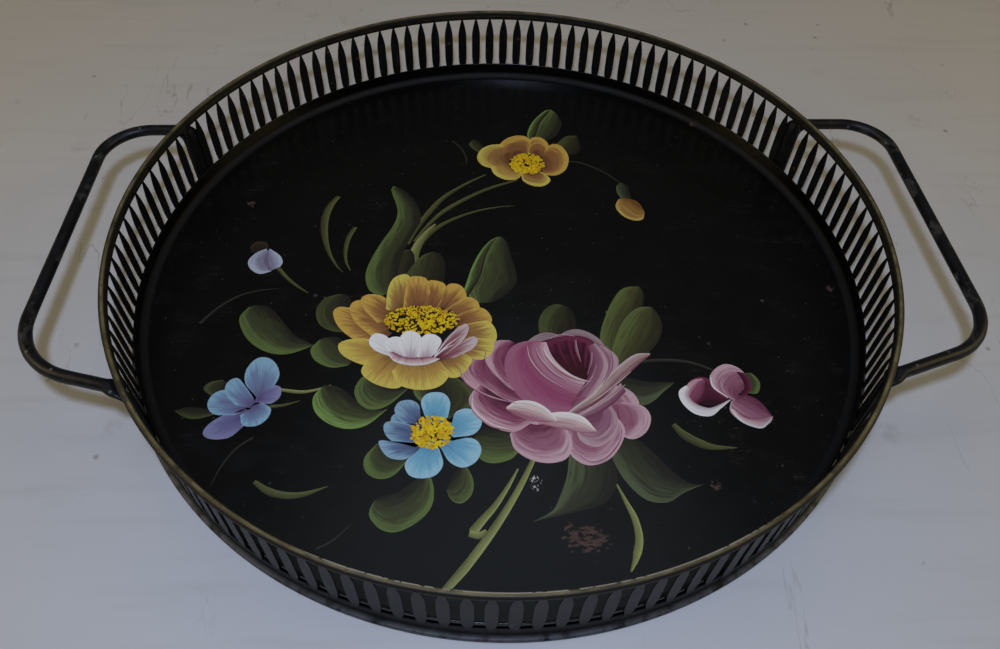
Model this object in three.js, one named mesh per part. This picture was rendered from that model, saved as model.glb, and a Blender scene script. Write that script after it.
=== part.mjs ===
// Round painted tin tray with an upright pierced gallery, a wired rim and two fixed rod handles.
//
// Frame: millimetres, +Z up. The origin is at the centre of the tray, on the surface it stands on,
// and the two handles reach out along +X and -X.
import * as THREE from 'three';

// ---- driving dimensions -------------------------------------------------------------------------

const TRAY_RADIUS = 190;          // inside face of the gallery
const TRAY_HEIGHT = 49;           // table to the top of the rim
const FIT_GAP = 0.4;              // solder gap between two pieces that are joined

const PAN_SHEET = 0.8;            // tinplate of the pan
const PAN_CLEAR = 1.2;            // height of the pan's underside above the table
const PAN_LIP_TOP = 11.7;         // top of the turned-up edge inside the gallery
const PAN_COVE = 4;               // inside radius where the floor turns up
const COVE_STEPS = 3;
const PAN_SIDES = 90;

const GALLERY_SHEET = 0.6;        // tinplate of the gallery strip
const SLOT_COUNT = 131;
const SLOT_BOTTOM = 8.3;          // height of the slots' lower edge above the table
const SLOT_TAPER = 9.3;           // height over which a slot narrows from there to its waist
const SLOT_SHOULDER = 11;         // height over which it widens again to its upper edge
const TOP_BAND = 3.8;             // slots' upper edge to the centre of the roll
const SLOT_BOTTOM_SHARE = 0.68;   // slot width as a share of the pitch: lower edge, waist, upper edge
const SLOT_WAIST_SHARE = 0.42;
const SLOT_TOP_SHARE = 0.88;

const ROLL_DIAMETER = 3;          // rolled edge that closes over the rim wire
const ROLL_SWEEP = 270;           // degrees of the circle that the sheet covers
const ROLL_STEPS = 6;
const WIRE_GAP = 0.3;             // wire to the inside of the roll
const WIRE_SIDES = 6;

const FOOT_HEIGHT = 2.8;          // folded foot at the gallery's lower edge
const FOOT_REACH = 3.2;           // from the gallery's inside face to the foot's outer edge
const FOOT_CHAMFER = 0.64;

const ROD_DIAMETER = 6;
const ROD_SIDES = 10;
const HANDLE_DROP = 3;            // underside of the roll to the top of the rod
// Standoff runs from the gallery's outside face to the grip's centre line. The ends are seen from
// above, with the left handle turned over onto the right hand side.
const RIGHT_GRIP = {
  standoff: 33.4,
  back: { wallAngle: 26, legAngle: 0, cornerRadius: 24 },
  front: { wallAngle: -29.9, legAngle: 19, cornerRadius: 32 },
};
const LEFT_GRIP = {
  standoff: 27.9,
  back: { wallAngle: 24.5, legAngle: 0, cornerRadius: 24 },
  front: { wallAngle: -30, legAngle: 15, cornerRadius: 36 },
};
const PADDLE_WIDTH = 12;          // flattened end that lies against the gallery
const PADDLE_THICKNESS = 2;
const PADDLE_LIFT = 3.2;          // top of the foot to the paddle's tip
const PADDLE_SQUARENESS = 0.45;   // 0 for an oval section, towards 1 for a squarer one
const PADDLE_TIP = [              // rise above the tip and share of the full width there
  { rise: 0, share: 0.55 },
  { rise: 1.2, share: 0.85 },
  { rise: 3, share: 1 },
];
const BEND_LENGTH = 8;            // length of the turn from the paddle into the leg
const BEND_STEPS = 5;
const CORNER_STEPS = 6;

// ---- sizes worked out from them -----------------------------------------------------------------

const galleryOuter = TRAY_RADIUS + GALLERY_SHEET;
const rollRadius = ROLL_DIAMETER / 2;
const rollCentre = { r: TRAY_RADIUS + rollRadius, z: TRAY_HEIGHT - rollRadius };
const wireRadius = rollRadius - GALLERY_SHEET - WIRE_GAP;
const slotTop = rollCentre.z - TOP_BAND;
const slotWaistLow = SLOT_BOTTOM + SLOT_TAPER;
const slotWaistHigh = slotTop - SLOT_SHOULDER;
const panOuter = TRAY_RADIUS - FIT_GAP;
const panTop = PAN_CLEAR + PAN_SHEET;
const paddleRadius = galleryOuter + FIT_GAP + PADDLE_THICKNESS / 2;
const paddleBottom = FOOT_HEIGHT + PADDLE_LIFT;
const handleLevel = TRAY_HEIGHT - ROLL_DIAMETER - HANDLE_DROP - ROD_DIAMETER / 2;

const radians = THREE.MathUtils.degToRad;

// ---- helpers ------------------------------------------------------------------------------------

// A point at radius r, angle a about the tray's axis and height z.
function ringPoint(r, a, z) {
  return new THREE.Vector3(r * Math.cos(a), r * Math.sin(a), z);
}

// A closed body from its corners and its faces, which name three or four corners each, by place in
// the list, anticlockwise seen from outside.
function bodyFrom(corners, faces) {
  const geometry = new THREE.BufferGeometry();
  geometry.setFromPoints(corners);
  const triangles = ([a, b, c, d]) => (d === undefined ? [a, b, c] : [a, b, c, a, c, d]);
  geometry.setIndex(faces.flatMap(triangles));
  geometry.computeVertexNormals();
  return geometry;
}

// A body through rings of points that all have the same number of points, with flat ends.
function loft(rings) {
  const count = rings[0].length;
  const lastRing = (rings.length - 1) * count;
  const faces = [];
  for (let start = 0; start < lastRing; start += count) {
    for (let j = 0; j < count; j += 1) {
      const k = (j + 1) % count;
      faces.push([start + j, start + k, start + count + k, start + count + j]);
    }
  }
  for (let j = 1; j + 1 < count; j += 1) {
    faces.push([0, j + 1, j]);
    faces.push([lastRing, lastRing + j, lastRing + j + 1]);
  }
  return bodyFrom(rings.flat(), faces);
}

function mesh(name, geometry, material) {
  const piece = new THREE.Mesh(geometry, material);
  piece.name = name;
  return piece;
}

// ---- pan: flat floor, small cove and a short turned-up lip --------------------------------------

function panGeometry() {
  const lipInner = panOuter - PAN_SHEET;
  const coveCentre = { r: lipInner - PAN_COVE, z: panTop + PAN_COVE };
  const cove = (radius, i) => {
    const a = -Math.PI / 2 + (i / COVE_STEPS) * (Math.PI / 2);
    return new THREE.Vector2(coveCentre.r + radius * Math.cos(a), coveCentre.z + radius * Math.sin(a));
  };
  const profile = [new THREE.Vector2(0, PAN_CLEAR)];
  for (let i = 0; i <= COVE_STEPS; i += 1) profile.push(cove(PAN_COVE + PAN_SHEET, i));
  profile.push(new THREE.Vector2(panOuter, PAN_LIP_TOP));
  profile.push(new THREE.Vector2(lipInner, PAN_LIP_TOP));
  for (let i = COVE_STEPS; i >= 0; i -= 1) profile.push(cove(PAN_COVE, i));
  profile.push(new THREE.Vector2(0, panTop));
  const pan = new THREE.LatheGeometry(profile, PAN_SIDES);
  pan.rotateX(Math.PI / 2);
  return pan;
}

// ---- gallery: pierced strip with a rolled top edge and a folded foot ----------------------------

// Corners of one slot on the unrolled strip: s is an angle from the slot's middle, z a height.
function slotOutline(pitch) {
  const bottom = (SLOT_BOTTOM_SHARE * pitch) / 2;
  const waist = (SLOT_WAIST_SHARE * pitch) / 2;
  const top = (SLOT_TOP_SHARE * pitch) / 2;
  return [
    new THREE.Vector2(-bottom, SLOT_BOTTOM),
    new THREE.Vector2(bottom, SLOT_BOTTOM),
    new THREE.Vector2(waist, slotWaistLow),
    new THREE.Vector2(waist, slotWaistHigh),
    new THREE.Vector2(top, slotTop),
    new THREE.Vector2(-top, slotTop),
    new THREE.Vector2(-waist, slotWaistHigh),
    new THREE.Vector2(-waist, slotWaistLow),
  ];
}

// Radius and height of the edge profile, from the top of the strip's inside face, over the roll and
// back to its outside face: the roll's outer skin, then its inner skin.
function rollProfile() {
  const around = (radius, i) => {
    const a = Math.PI - (i / ROLL_STEPS) * radians(ROLL_SWEEP);
    return { r: rollCentre.r + radius * Math.cos(a), z: rollCentre.z + radius * Math.sin(a) };
  };
  const indices = Array.from({ length: ROLL_STEPS + 1 }, (_, i) => i);
  const skinOuter = indices.map((i) => around(rollRadius, i));
  const skinInner = indices.map((i) => around(rollRadius - GALLERY_SHEET, i)).reverse();
  return [...skinOuter, ...skinInner];
}

// The folded foot, from the bottom of the strip's outside face round to its inside face.
function footProfile() {
  const outer = TRAY_RADIUS + FOOT_REACH;
  return [
    { r: galleryOuter, z: FOOT_HEIGHT },
    { r: outer - FOOT_CHAMFER, z: FOOT_HEIGHT },
    { r: outer, z: FOOT_HEIGHT / 2 },
    { r: outer - FOOT_CHAMFER, z: 0 },
    { r: TRAY_RADIUS, z: 0 },
    { r: TRAY_RADIUS, z: FOOT_HEIGHT },
  ];
}

// The strip is built slot by slot. Between slots, in the middle of a picket, stands a loop of points:
// over the roll and round the foot. A slot's cell reaches from one loop to the next.
function galleryGeometry() {
  const pitch = (2 * Math.PI) / SLOT_COUNT;
  const slot = slotOutline(pitch);
  const roll = rollProfile();
  const foot = footProfile();
  const loop = [...roll, ...foot];
  const stride = loop.length + 2 * slot.length;

  const corners = [];
  for (let n = 0; n < SLOT_COUNT; n += 1) {
    const middle = (n + 0.5) * pitch;
    corners.push(...loop.map((p) => ringPoint(p.r, n * pitch, p.z)));
    corners.push(...slot.map((p) => ringPoint(galleryOuter, middle + p.x, p.y)));
    corners.push(...slot.map((p) => ringPoint(TRAY_RADIUS, middle + p.x, p.y)));
  }

  const outsideTop = roll.length - 1;
  const outsideBottom = roll.length;
  const insideTop = 0;
  const insideBottom = loop.length - 1;
  const low = foot[0].z;
  const high = roll[0].z;
  const half = pitch / 2;
  const cell = [
    new THREE.Vector2(-half, low),
    new THREE.Vector2(half, low),
    new THREE.Vector2(half, high),
    new THREE.Vector2(-half, high),
  ];
  const pattern = THREE.ShapeUtils.triangulateShape(cell, [slot]);

  const faces = [];
  for (let n = 0; n < SLOT_COUNT; n += 1) {
    const here = n * stride;
    const next = ((n + 1) % SLOT_COUNT) * stride;
    const slotOutside = slot.map((_, i) => here + loop.length + i);
    const slotInside = slotOutside.map((i) => i + slot.length);
    const cellOutside = [here + outsideBottom, next + outsideBottom, next + outsideTop, here + outsideTop];
    const cellInside = [here + insideBottom, next + insideBottom, next + insideTop, here + insideTop];
    const outside = [...cellOutside, ...slotOutside];
    const inside = [...cellInside, ...slotInside];
    for (const [a, b, c] of pattern) {
      faces.push([outside[a], outside[b], outside[c]]);
      faces.push([inside[a], inside[c], inside[b]]);
    }
    for (let i = 0; i < slot.length; i += 1) {
      const j = (i + 1) % slot.length;
      faces.push([slotOutside[i], slotOutside[j], slotInside[j], slotInside[i]]);
    }
    for (let i = 0; i + 1 < loop.length; i += 1) {
      if (i !== outsideTop) faces.push([here + i, here + i + 1, next + i + 1, next + i]);
    }
  }
  return bodyFrom(corners, faces);
}

// ---- rim wire: the ring that stiffens the rolled edge -------------------------------------------

function rimWireGeometry() {
  const section = Array.from({ length: WIRE_SIDES + 1 }, (_, i) => {
    const a = (i / WIRE_SIDES) * 2 * Math.PI;
    const r = rollCentre.r + wireRadius * Math.cos(a);
    return new THREE.Vector2(r, rollCentre.z + wireRadius * Math.sin(a));
  });
  const ring = new THREE.LatheGeometry(section, SLOT_COUNT);
  ring.rotateX(Math.PI / 2);
  return ring;
}

// ---- handles: one bent rod each, with both ends flattened into paddles --------------------------

// Where a handle's leg leaves the wall and where it meets the corner bend, seen from above.
function handleEnd(standoff, { wallAngle, legAngle, cornerRadius }) {
  const side = Math.sign(wallAngle);
  const wall = new THREE.Vector2(paddleRadius, 0).rotateAround(new THREE.Vector2(), radians(wallAngle));
  const leg = new THREE.Vector2(1, 0).rotateAround(new THREE.Vector2(), radians(legAngle));
  const outward = new THREE.Vector2(-leg.y, leg.x).multiplyScalar(side);
  const cornerX = galleryOuter + standoff - cornerRadius;
  const legLength = (cornerX + cornerRadius * outward.x - wall.x) / leg.x;
  const bendStart = wall.clone().addScaledVector(leg, legLength);
  const corner = bendStart.clone().addScaledVector(outward, -cornerRadius);
  return { side, wall, leg, outward, corner, wallAngle, legAngle, cornerRadius };
}

// A station on the rod: its centre, the direction of its wide side, and its width and thickness.
function station(x, y, z, acrossAngle, width, thickness) {
  return { at: new THREE.Vector3(x, y, z), acrossAngle, width, thickness };
}

// Stations from the foot of the paddle, up it, through the turn and along the leg and corner bend.
function endStations(end) {
  const { wall, leg, corner, outward } = end;
  const paddleAngle = radians(end.wallAngle + 90 * end.side);
  const legAcross = radians(end.legAngle + 90 * end.side);
  const stations = [];
  for (const { rise, share } of PADDLE_TIP) {
    const z = paddleBottom + rise;
    stations.push(station(wall.x, wall.y, z, paddleAngle, PADDLE_WIDTH * share, PADDLE_THICKNESS));
  }
  const turn = new THREE.QuadraticBezierCurve3(
    new THREE.Vector3(wall.x, wall.y, handleLevel - BEND_LENGTH),
    new THREE.Vector3(wall.x, wall.y, handleLevel),
    new THREE.Vector3(wall.x + leg.x * BEND_LENGTH, wall.y + leg.y * BEND_LENGTH, handleLevel),
  );
  for (let i = 0; i <= BEND_STEPS; i += 1) {
    const t = i / BEND_STEPS;
    const p = turn.getPoint(t);
    const roundness = t * t;
    const across = THREE.MathUtils.lerp(paddleAngle, legAcross, t * roundness);
    const width = THREE.MathUtils.lerp(PADDLE_WIDTH, ROD_DIAMETER, roundness);
    const thickness = THREE.MathUtils.lerp(PADDLE_THICKNESS, ROD_DIAMETER, roundness);
    stations.push(station(p.x, p.y, p.z, across, width, thickness));
  }
  const startAngle = Math.atan2(outward.y, outward.x);
  for (let i = 0; i <= CORNER_STEPS; i += 1) {
    const a = THREE.MathUtils.lerp(startAngle, 0, i / CORNER_STEPS);
    const x = corner.x + end.cornerRadius * Math.cos(a);
    const y = corner.y + end.cornerRadius * Math.sin(a);
    stations.push(station(x, y, handleLevel, a, ROD_DIAMETER, ROD_DIAMETER));
  }
  return stations;
}

// Points round the rod at a station: a circle on the rod, a rounded bar on the paddle.
function sectionRing(here, direction) {
  const across = new THREE.Vector3(Math.cos(here.acrossAngle), Math.sin(here.acrossAngle), 0);
  across.addScaledVector(direction, -across.dot(direction)).normalize();
  const through = new THREE.Vector3().crossVectors(direction, across);
  const flatness = 1 - (here.thickness - PADDLE_THICKNESS) / (ROD_DIAMETER - PADDLE_THICKNESS);
  const power = 1 - PADDLE_SQUARENESS * flatness;
  const rounded = (value) => Math.sign(value) * Math.abs(value) ** power;
  return Array.from({ length: ROD_SIDES }, (_, i) => {
    const a = ((i + 0.5) / ROD_SIDES) * 2 * Math.PI;
    return here.at.clone()
      .addScaledVector(across, (rounded(Math.cos(a)) * here.width) / 2)
      .addScaledVector(through, (rounded(Math.sin(a)) * here.thickness) / 2);
  });
}

function handleGeometry(grip) {
  const [back, front] = [grip.back, grip.front].map((end) => handleEnd(grip.standoff, end));
  const firstHalf = endStations(back);
  const secondHalf = endStations(front).reverse();
  const stations = [...firstHalf, ...secondHalf];
  const rings = stations.map((here, i) => {
    const before = stations[Math.max(i - 1, 0)].at;
    const after = stations[Math.min(i + 1, stations.length - 1)].at;
    return sectionRing(here, after.clone().sub(before).normalize());
  });
  return loft(rings);
}

// The left handle is made on the right hand side and then mirrored across the YZ plane.
function mirrored(geometry) {
  const copy = geometry.clone();
  copy.scale(-1, 1, 1);
  const index = copy.getIndex();
  for (let i = 0; i < index.count; i += 3) {
    const second = index.getX(i + 1);
    index.setX(i + 1, index.getX(i + 2));
    index.setX(i + 2, second);
  }
  copy.computeVertexNormals();
  return copy;
}

// ---- assembly -----------------------------------------------------------------------------------

const blackLacquer = new THREE.MeshStandardMaterial({ color: 0x0d0d10, roughness: 0.25, metalness: 0 });
const galleryPaint = new THREE.MeshStandardMaterial({ color: 0x16161a, roughness: 0.4, metalness: 0 });
const bareWire = new THREE.MeshStandardMaterial({ color: 0x6c6a66, roughness: 0.5, metalness: 1 });
const handlePaint = new THREE.MeshStandardMaterial({ color: 0x1c1c20, roughness: 0.45, metalness: 0 });

const group = new THREE.Group();
group.add(mesh('pan', panGeometry(), blackLacquer));
group.add(mesh('gallery', galleryGeometry(), galleryPaint));
group.add(mesh('rim_wire', rimWireGeometry(), bareWire));
group.add(mesh('right_handle', handleGeometry(RIGHT_GRIP), handlePaint));
group.add(mesh('left_handle', mirrored(handleGeometry(LEFT_GRIP)), handlePaint));

export default group;
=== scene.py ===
# %% [markdown]
# A tray made of tinplate: a flat pan, a pierced gallery round it with a rolled rim, and two rod
# handles. A bouquet is painted on the black lacquer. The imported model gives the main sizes, so this
# lesson starts by loading it, and each piece is then built around the part that it stands for.

import math
import random

import bpy
import bmesh
from mathutils import Matrix, Vector


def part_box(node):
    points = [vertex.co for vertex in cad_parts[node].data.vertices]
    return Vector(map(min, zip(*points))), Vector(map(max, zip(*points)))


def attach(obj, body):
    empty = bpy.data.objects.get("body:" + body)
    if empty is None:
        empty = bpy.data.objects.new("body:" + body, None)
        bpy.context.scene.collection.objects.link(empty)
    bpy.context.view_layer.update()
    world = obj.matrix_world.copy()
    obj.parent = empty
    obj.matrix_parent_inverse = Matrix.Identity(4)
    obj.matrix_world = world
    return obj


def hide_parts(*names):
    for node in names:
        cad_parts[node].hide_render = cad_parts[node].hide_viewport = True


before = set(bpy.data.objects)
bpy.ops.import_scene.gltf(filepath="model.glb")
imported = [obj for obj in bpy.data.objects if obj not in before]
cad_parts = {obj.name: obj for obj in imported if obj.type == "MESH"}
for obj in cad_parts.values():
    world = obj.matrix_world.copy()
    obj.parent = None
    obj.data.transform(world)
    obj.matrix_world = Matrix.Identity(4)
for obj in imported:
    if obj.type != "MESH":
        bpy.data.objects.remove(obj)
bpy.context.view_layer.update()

MM = 0.001
SIDES = 262                 # steps round the tray, two to each slot

# %% [markdown]
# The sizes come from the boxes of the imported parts. The rim wire's box gives the middle of the
# rolled edge, the pan's box gives its wall and height, and a handle's box gives its reach.

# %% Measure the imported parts
gallery_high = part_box("gallery")[1]
pan_low, pan_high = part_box("pan")
wire_low, wire_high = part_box("rim_wire")
handle_low, handle_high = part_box("right_handle")

SHEET = 0.6 * MM
WIRE = 0.6 * MM
ROLL = 1.5 * MM
foot_radius = gallery_high.x
rim_top = gallery_high.z
roll_radius = wire_high.x - WIRE
roll_level = (wire_low.z + wire_high.z) / 2
wall_inside = roll_radius - ROLL
wall_outside = wall_inside + SHEET
pan_radius = pan_high.x
PAN_SHEET = 0.8 * MM
floor_level = pan_low.z + PAN_SHEET
print("wall radius", round(wall_inside / MM, 2), "mm, rim top", round(rim_top / MM, 2), "mm")
print("floor level", round(floor_level / MM, 2), "mm, handle reach", round(handle_high.x / MM, 2), "mm")

# %% [markdown]
# The camera stands in front of the tray and looks down at it at about 51 degrees, a little turned
# to one side and rolled by two degrees. It is close, so the lens is fairly wide.

# %% Place the camera
CAMERA_AT = Vector((-18.9, -288.7, 322.3)) * MM
CAMERA_AIM = Vector((-2.2, -31.3, 0.0)) * MM
CAMERA_RIGHT = Vector((0.9979, -0.0645, 0.0))
CAMERA_ROLL = math.radians(2.22)
CAMERA_LENS = 28.34

camera_data = bpy.data.cameras.new("camera")
camera_data.lens = CAMERA_LENS
camera_data.sensor_width = 36
camera_data.clip_start = 0.01
camera = bpy.data.objects.new("camera", camera_data)
bpy.context.collection.objects.link(camera)
back = (CAMERA_AT - CAMERA_AIM).normalized()
across = (CAMERA_RIGHT - CAMERA_RIGHT.dot(back) * back).normalized()
upward = back.cross(across)
turned_across = math.cos(CAMERA_ROLL) * across + math.sin(CAMERA_ROLL) * upward
turned_up = math.cos(CAMERA_ROLL) * upward - math.sin(CAMERA_ROLL) * across
camera_turn = Matrix((turned_across, turned_up, back)).transposed().to_4x4()
camera.matrix_world = Matrix.Translation(CAMERA_AT) @ camera_turn
bpy.context.scene.camera = camera
print("camera", round((CAMERA_AT - CAMERA_AIM).length, 3), "m from its aim")

# %% [markdown]
# A black mirror-like surface shows whatever stands around it, so the room is kept dim and the
# main light is one small cool lamp close above the camera, whose mirror image falls in front of
# the tray. A wide, weak lamp high behind the tray is mirrored as a faint glow in the near part of
# the floor. Two warm lamps at the sides fill the shadows, which turns them yellowish.

# %% Light the tray
bpy.context.scene.view_settings.view_transform = "Standard"


def soft_lamp(name, at, aim, size, watts, colour):
    data = bpy.data.lights.new(name, "AREA")
    data.shape, data.size, data.energy, data.color = "DISK", size, watts, colour
    lamp = bpy.data.objects.new(name, data)
    lamp.location = at
    lamp.rotation_mode = "QUATERNION"
    lamp.rotation_quaternion = (Vector(at) - Vector(aim)).to_track_quat("Z", "Y")
    bpy.context.collection.objects.link(lamp)
    return lamp


soft_lamp("main_lamp", (-0.034, -0.285, 0.50), (0, 0.02, 0), 0.048, 1.50, (0.55, 0.67, 0.97))
soft_lamp("high_window", (0.05, 0.42, 1.25), (0, -0.1, 0), 0.80, 0.62, (0.70, 0.85, 1.0))
soft_lamp("left_fill", (-1.1, -0.1, 0.7), (0, 0, 0), 0.7, 3.05, (1.0, 0.80, 0.42))
soft_lamp("right_fill", (1.1, -0.1, 0.7), (0, 0, 0), 0.7, 3.05, (1.0, 0.80, 0.42))
room = bpy.data.worlds.new("dim_room")
bpy.context.scene.world = room
room.use_nodes = True
room.node_tree.nodes["Background"].inputs["Color"].default_value = (1.0, 0.93, 0.85, 1)
room.node_tree.nodes["Background"].inputs["Strength"].default_value = 0.055

# %% [markdown]
# Materials are written as sums. `Signal` wraps one output of a node and turns Python's operators
# into Math nodes, and `Finish` holds one material and makes every other kind of node with a
# single method.

# %% Write shader maths as Python sums
class Signal:
    """A value inside a material that can be added, multiplied and compared."""

    def __init__(self, finish, socket):
        self.finish, self.socket = finish, socket

    def maths(self, operation, *values):
        inputs = dict(enumerate(values))
        return self.finish.node("ShaderNodeMath", {"operation": operation}, inputs)

    def __add__(self, other):
        return self.maths("ADD", self, other)

    def __sub__(self, other):
        return self.maths("SUBTRACT", self, other)

    def __rsub__(self, other):
        return self.maths("SUBTRACT", other, self)

    def __mul__(self, other):
        return self.maths("MULTIPLY", self, other)

    def __truediv__(self, other):
        return self.maths("DIVIDE", self, other)

    def __pow__(self, other):
        return self.maths("POWER", self, other)

    def __abs__(self):
        return self.maths("ABSOLUTE", self)

    __radd__, __rmul__ = __add__, __mul__

    def most(self, other):
        return self.maths("MAXIMUM", self, other)

    def step(self, low, high):
        """0 below low, 1 above high, smooth between them."""
        inputs = {"Value": self, "From Min": low, "From Max": high}
        return self.finish.node("ShaderNodeMapRange", {"interpolation_type": "SMOOTHSTEP"}, inputs)


def linear(code):
    """A colour's red, green and blue as light, from its six hexadecimal digits."""
    parts = [int(code[i:i + 2], 16) / 255 for i in (0, 2, 4)]
    return tuple(c / 12.92 if c <= 0.04045 else ((c + 0.055) / 1.055) ** 2.4 for c in parts) + (1,)


class Finish:
    """One material, built node by node."""

    def __init__(self, name, **sockets):
        self.material = bpy.data.materials.new(name)
        self.material.use_nodes = True
        self.tree = self.material.node_tree
        self.shader = self.tree.nodes["Principled BSDF"]
        for socket, value in sockets.items():
            self.set(socket.replace("_", " "), value)

    def set(self, socket, value):
        self.connect(self.shader.inputs[socket], value)

    def connect(self, socket, value):
        if isinstance(value, Signal):
            self.tree.links.new(value.socket, socket)
        else:
            socket.default_value = value

    def node(self, kind, settings=None, inputs=None, output=0):
        node = self.tree.nodes.new(kind)
        for key, value in (settings or {}).items():
            if key == "stops":
                ramp = node.color_ramp.elements
                while len(ramp) < len(value):
                    ramp.new(1.0)
                for element, (position, colour) in zip(ramp, value):
                    element.position, element.color = position, colour
            else:
                setattr(node, key, value)
        for key, value in (inputs or {}).items():
            self.connect(node.inputs[key], value)
        return Signal(self, node.outputs[output])

    def place(self):
        """Position on the tray in millimetres."""
        spot = self.node("ShaderNodeTexCoord", output="Object")
        return self.node("ShaderNodeVectorMath", {"operation": "SCALE"}, {0: spot, "Scale": 1 / MM})

    def stretched(self, spot, factors):
        return self.node("ShaderNodeVectorMath", {"operation": "MULTIPLY"}, {0: spot, 1: factors})

    def parts(self, vector):
        split = self.tree.nodes.new("ShaderNodeSeparateXYZ")
        self.connect(split.inputs[0], vector)
        return [Signal(self, output) for output in split.outputs]

    def noise(self, spot, size, detail=3.0, rough=0.5, warp=0.0):
        inputs = {"Vector": spot, "Scale": 1 / size, "Detail": detail, "Roughness": rough}
        return self.node("ShaderNodeTexNoise", None, {**inputs, "Distortion": warp})

    def specks(self, spot, size, share):
        """Small round specks: about share of the cells of that size hold one."""
        settings = {"feature": "F1"}
        gap = self.node("ShaderNodeTexVoronoi", settings, {"Vector": spot, "Scale": 1 / size}, "Distance")
        tint = self.node("ShaderNodeTexVoronoi", settings, {"Vector": spot, "Scale": 1 / size}, "Color")
        chosen = self.parts(tint)[0].step(1 - share, 1.001 - share)
        return (1 - gap.step(0.12, 0.3)) * chosen

    def near(self, spot, centre, reach, ragged, grain=4.0):
        """1 inside a ragged patch round a place on the floor, fading to 0 at its edge."""
        distance = self.node("ShaderNodeVectorMath", {"operation": "DISTANCE"}, {0: spot, 1: centre},
                             "Value")
        edge = distance / reach + (self.noise(spot, grain, 4.0) - 0.5) * ragged
        return 1 - edge.step(0.75, 1.05)

    def blend(self, factor, first, second, mode="MIX"):
        settings = {"data_type": "RGBA", "blend_type": mode, "clamp_factor": True}
        return self.node("ShaderNodeMix", settings, {0: factor, 6: first, 7: second}, 2)

    def bump(self, height, depth, under=None):
        inputs = {"Height": height, "Distance": depth, "Strength": 1.0}
        if under is not None:
            inputs["Normal"] = under
        return self.node("ShaderNodeBump", None, inputs)


print("shader helpers ready")

# %% [markdown]
# Most pieces are swept: a section goes round the tray's axis, or along a rod. `solid` turns
# corners and faces into a piece, smooths it except at real edges, gives it its finish, hangs it on
# its body and hides the imported part that it stands for.

# %% Turn corners and faces into pieces
EDGE_ANGLE = math.radians(38)
WELD = 0.0001 * MM          # corners closer than this become one


def solid(name, corners, faces, finish, slot, stands_for=None, edge=EDGE_ANGLE):
    mesh = bpy.data.meshes.new(name)
    mesh.from_pydata([tuple(c) for c in corners], [], faces)
    mesh.validate()
    work = bmesh.new()
    work.from_mesh(mesh)
    bmesh.ops.remove_doubles(work, verts=work.verts, dist=WELD)
    bmesh.ops.recalc_face_normals(work, faces=work.faces)
    work.to_mesh(mesh)
    work.free()
    mesh.shade_smooth()
    mesh.set_sharp_from_angle(angle=edge)
    piece = bpy.data.objects.new(name, mesh)
    bpy.context.collection.objects.link(piece)
    mesh.materials.append(finish.material)
    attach(piece, "root")
    if stands_for:
        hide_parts(stands_for)
    return piece


def on_ring(radius, angle, level):
    return Vector((radius * math.cos(angle), radius * math.sin(angle), level))


def arc(centre, radius, start, end, steps):
    """Points (radius, level) of an arc in the tray's section; angles in degrees."""
    angles = [math.radians(start + (end - start) * i / steps) for i in range(steps + 1)]
    return [(centre[0] + radius * math.cos(a), centre[1] + radius * math.sin(a)) for a in angles]


def swept_ring(section, sides, start=0.0, sweep=2 * math.pi, wobble=None):
    """Corners and faces of a closed section carried round the axis, or part of the way."""
    full = abs(sweep - 2 * math.pi) < 1e-9
    rings = sides if full else sides + 1
    shift = wobble or (lambda angle: (0.0, 0.0))
    corners = []
    for i in range(rings):
        angle = start + sweep * i / sides
        outward, lift = shift(angle)
        corners += [on_ring(r + outward, angle, z + lift) for r, z in section]
    count = len(section)
    faces = []
    for i in range(sides):
        here, there = i * count, ((i + 1) % rings) * count
        faces += [(here + j, here + (j + 1) % count, there + (j + 1) % count, there + j)
                  for j in range(count)]
    if not full:
        faces += [tuple(range(count)), tuple(range(sides * count, rings * count))]
    return corners, faces


def swept_disc(section, sides):
    """As swept_ring, for a section whose first and last points lie on the axis."""
    corners, faces = swept_ring(section, sides)
    return corners, [tuple(dict.fromkeys(f)) for f in faces]


print("sweeps ready")

# %% [markdown]
# The lacquer is a black varnish over tin. It is nearly a mirror where it is sound, cloudier where
# hands and cups have rubbed it, and it carries fine dust, a few long scratches, chips down to a
# pale ground, a white scuff, and one patch and a few spots where rust has come through. Every fault
# is a mask that changes the colour, and most of them change the roughness or the height as well.
# The cove and the upstand above the floor are painted a deeper black, as painted shade by the wall.

# %% Black lacquer
RUST_SQUEEZE = 0.6          # the patch is wider than it is deep, so x is squeezed for it
RUST_PATCH = (31 * RUST_SQUEEZE, -151, 2)
RUST_REACH = 5.6
SCUFF = (16, -124, 2)
SMALL_RUST = [(-145, 60, 2), (131, 134, 2), (180, -10, 2), (92, -127, 2), (24, -146, 2)]


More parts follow.
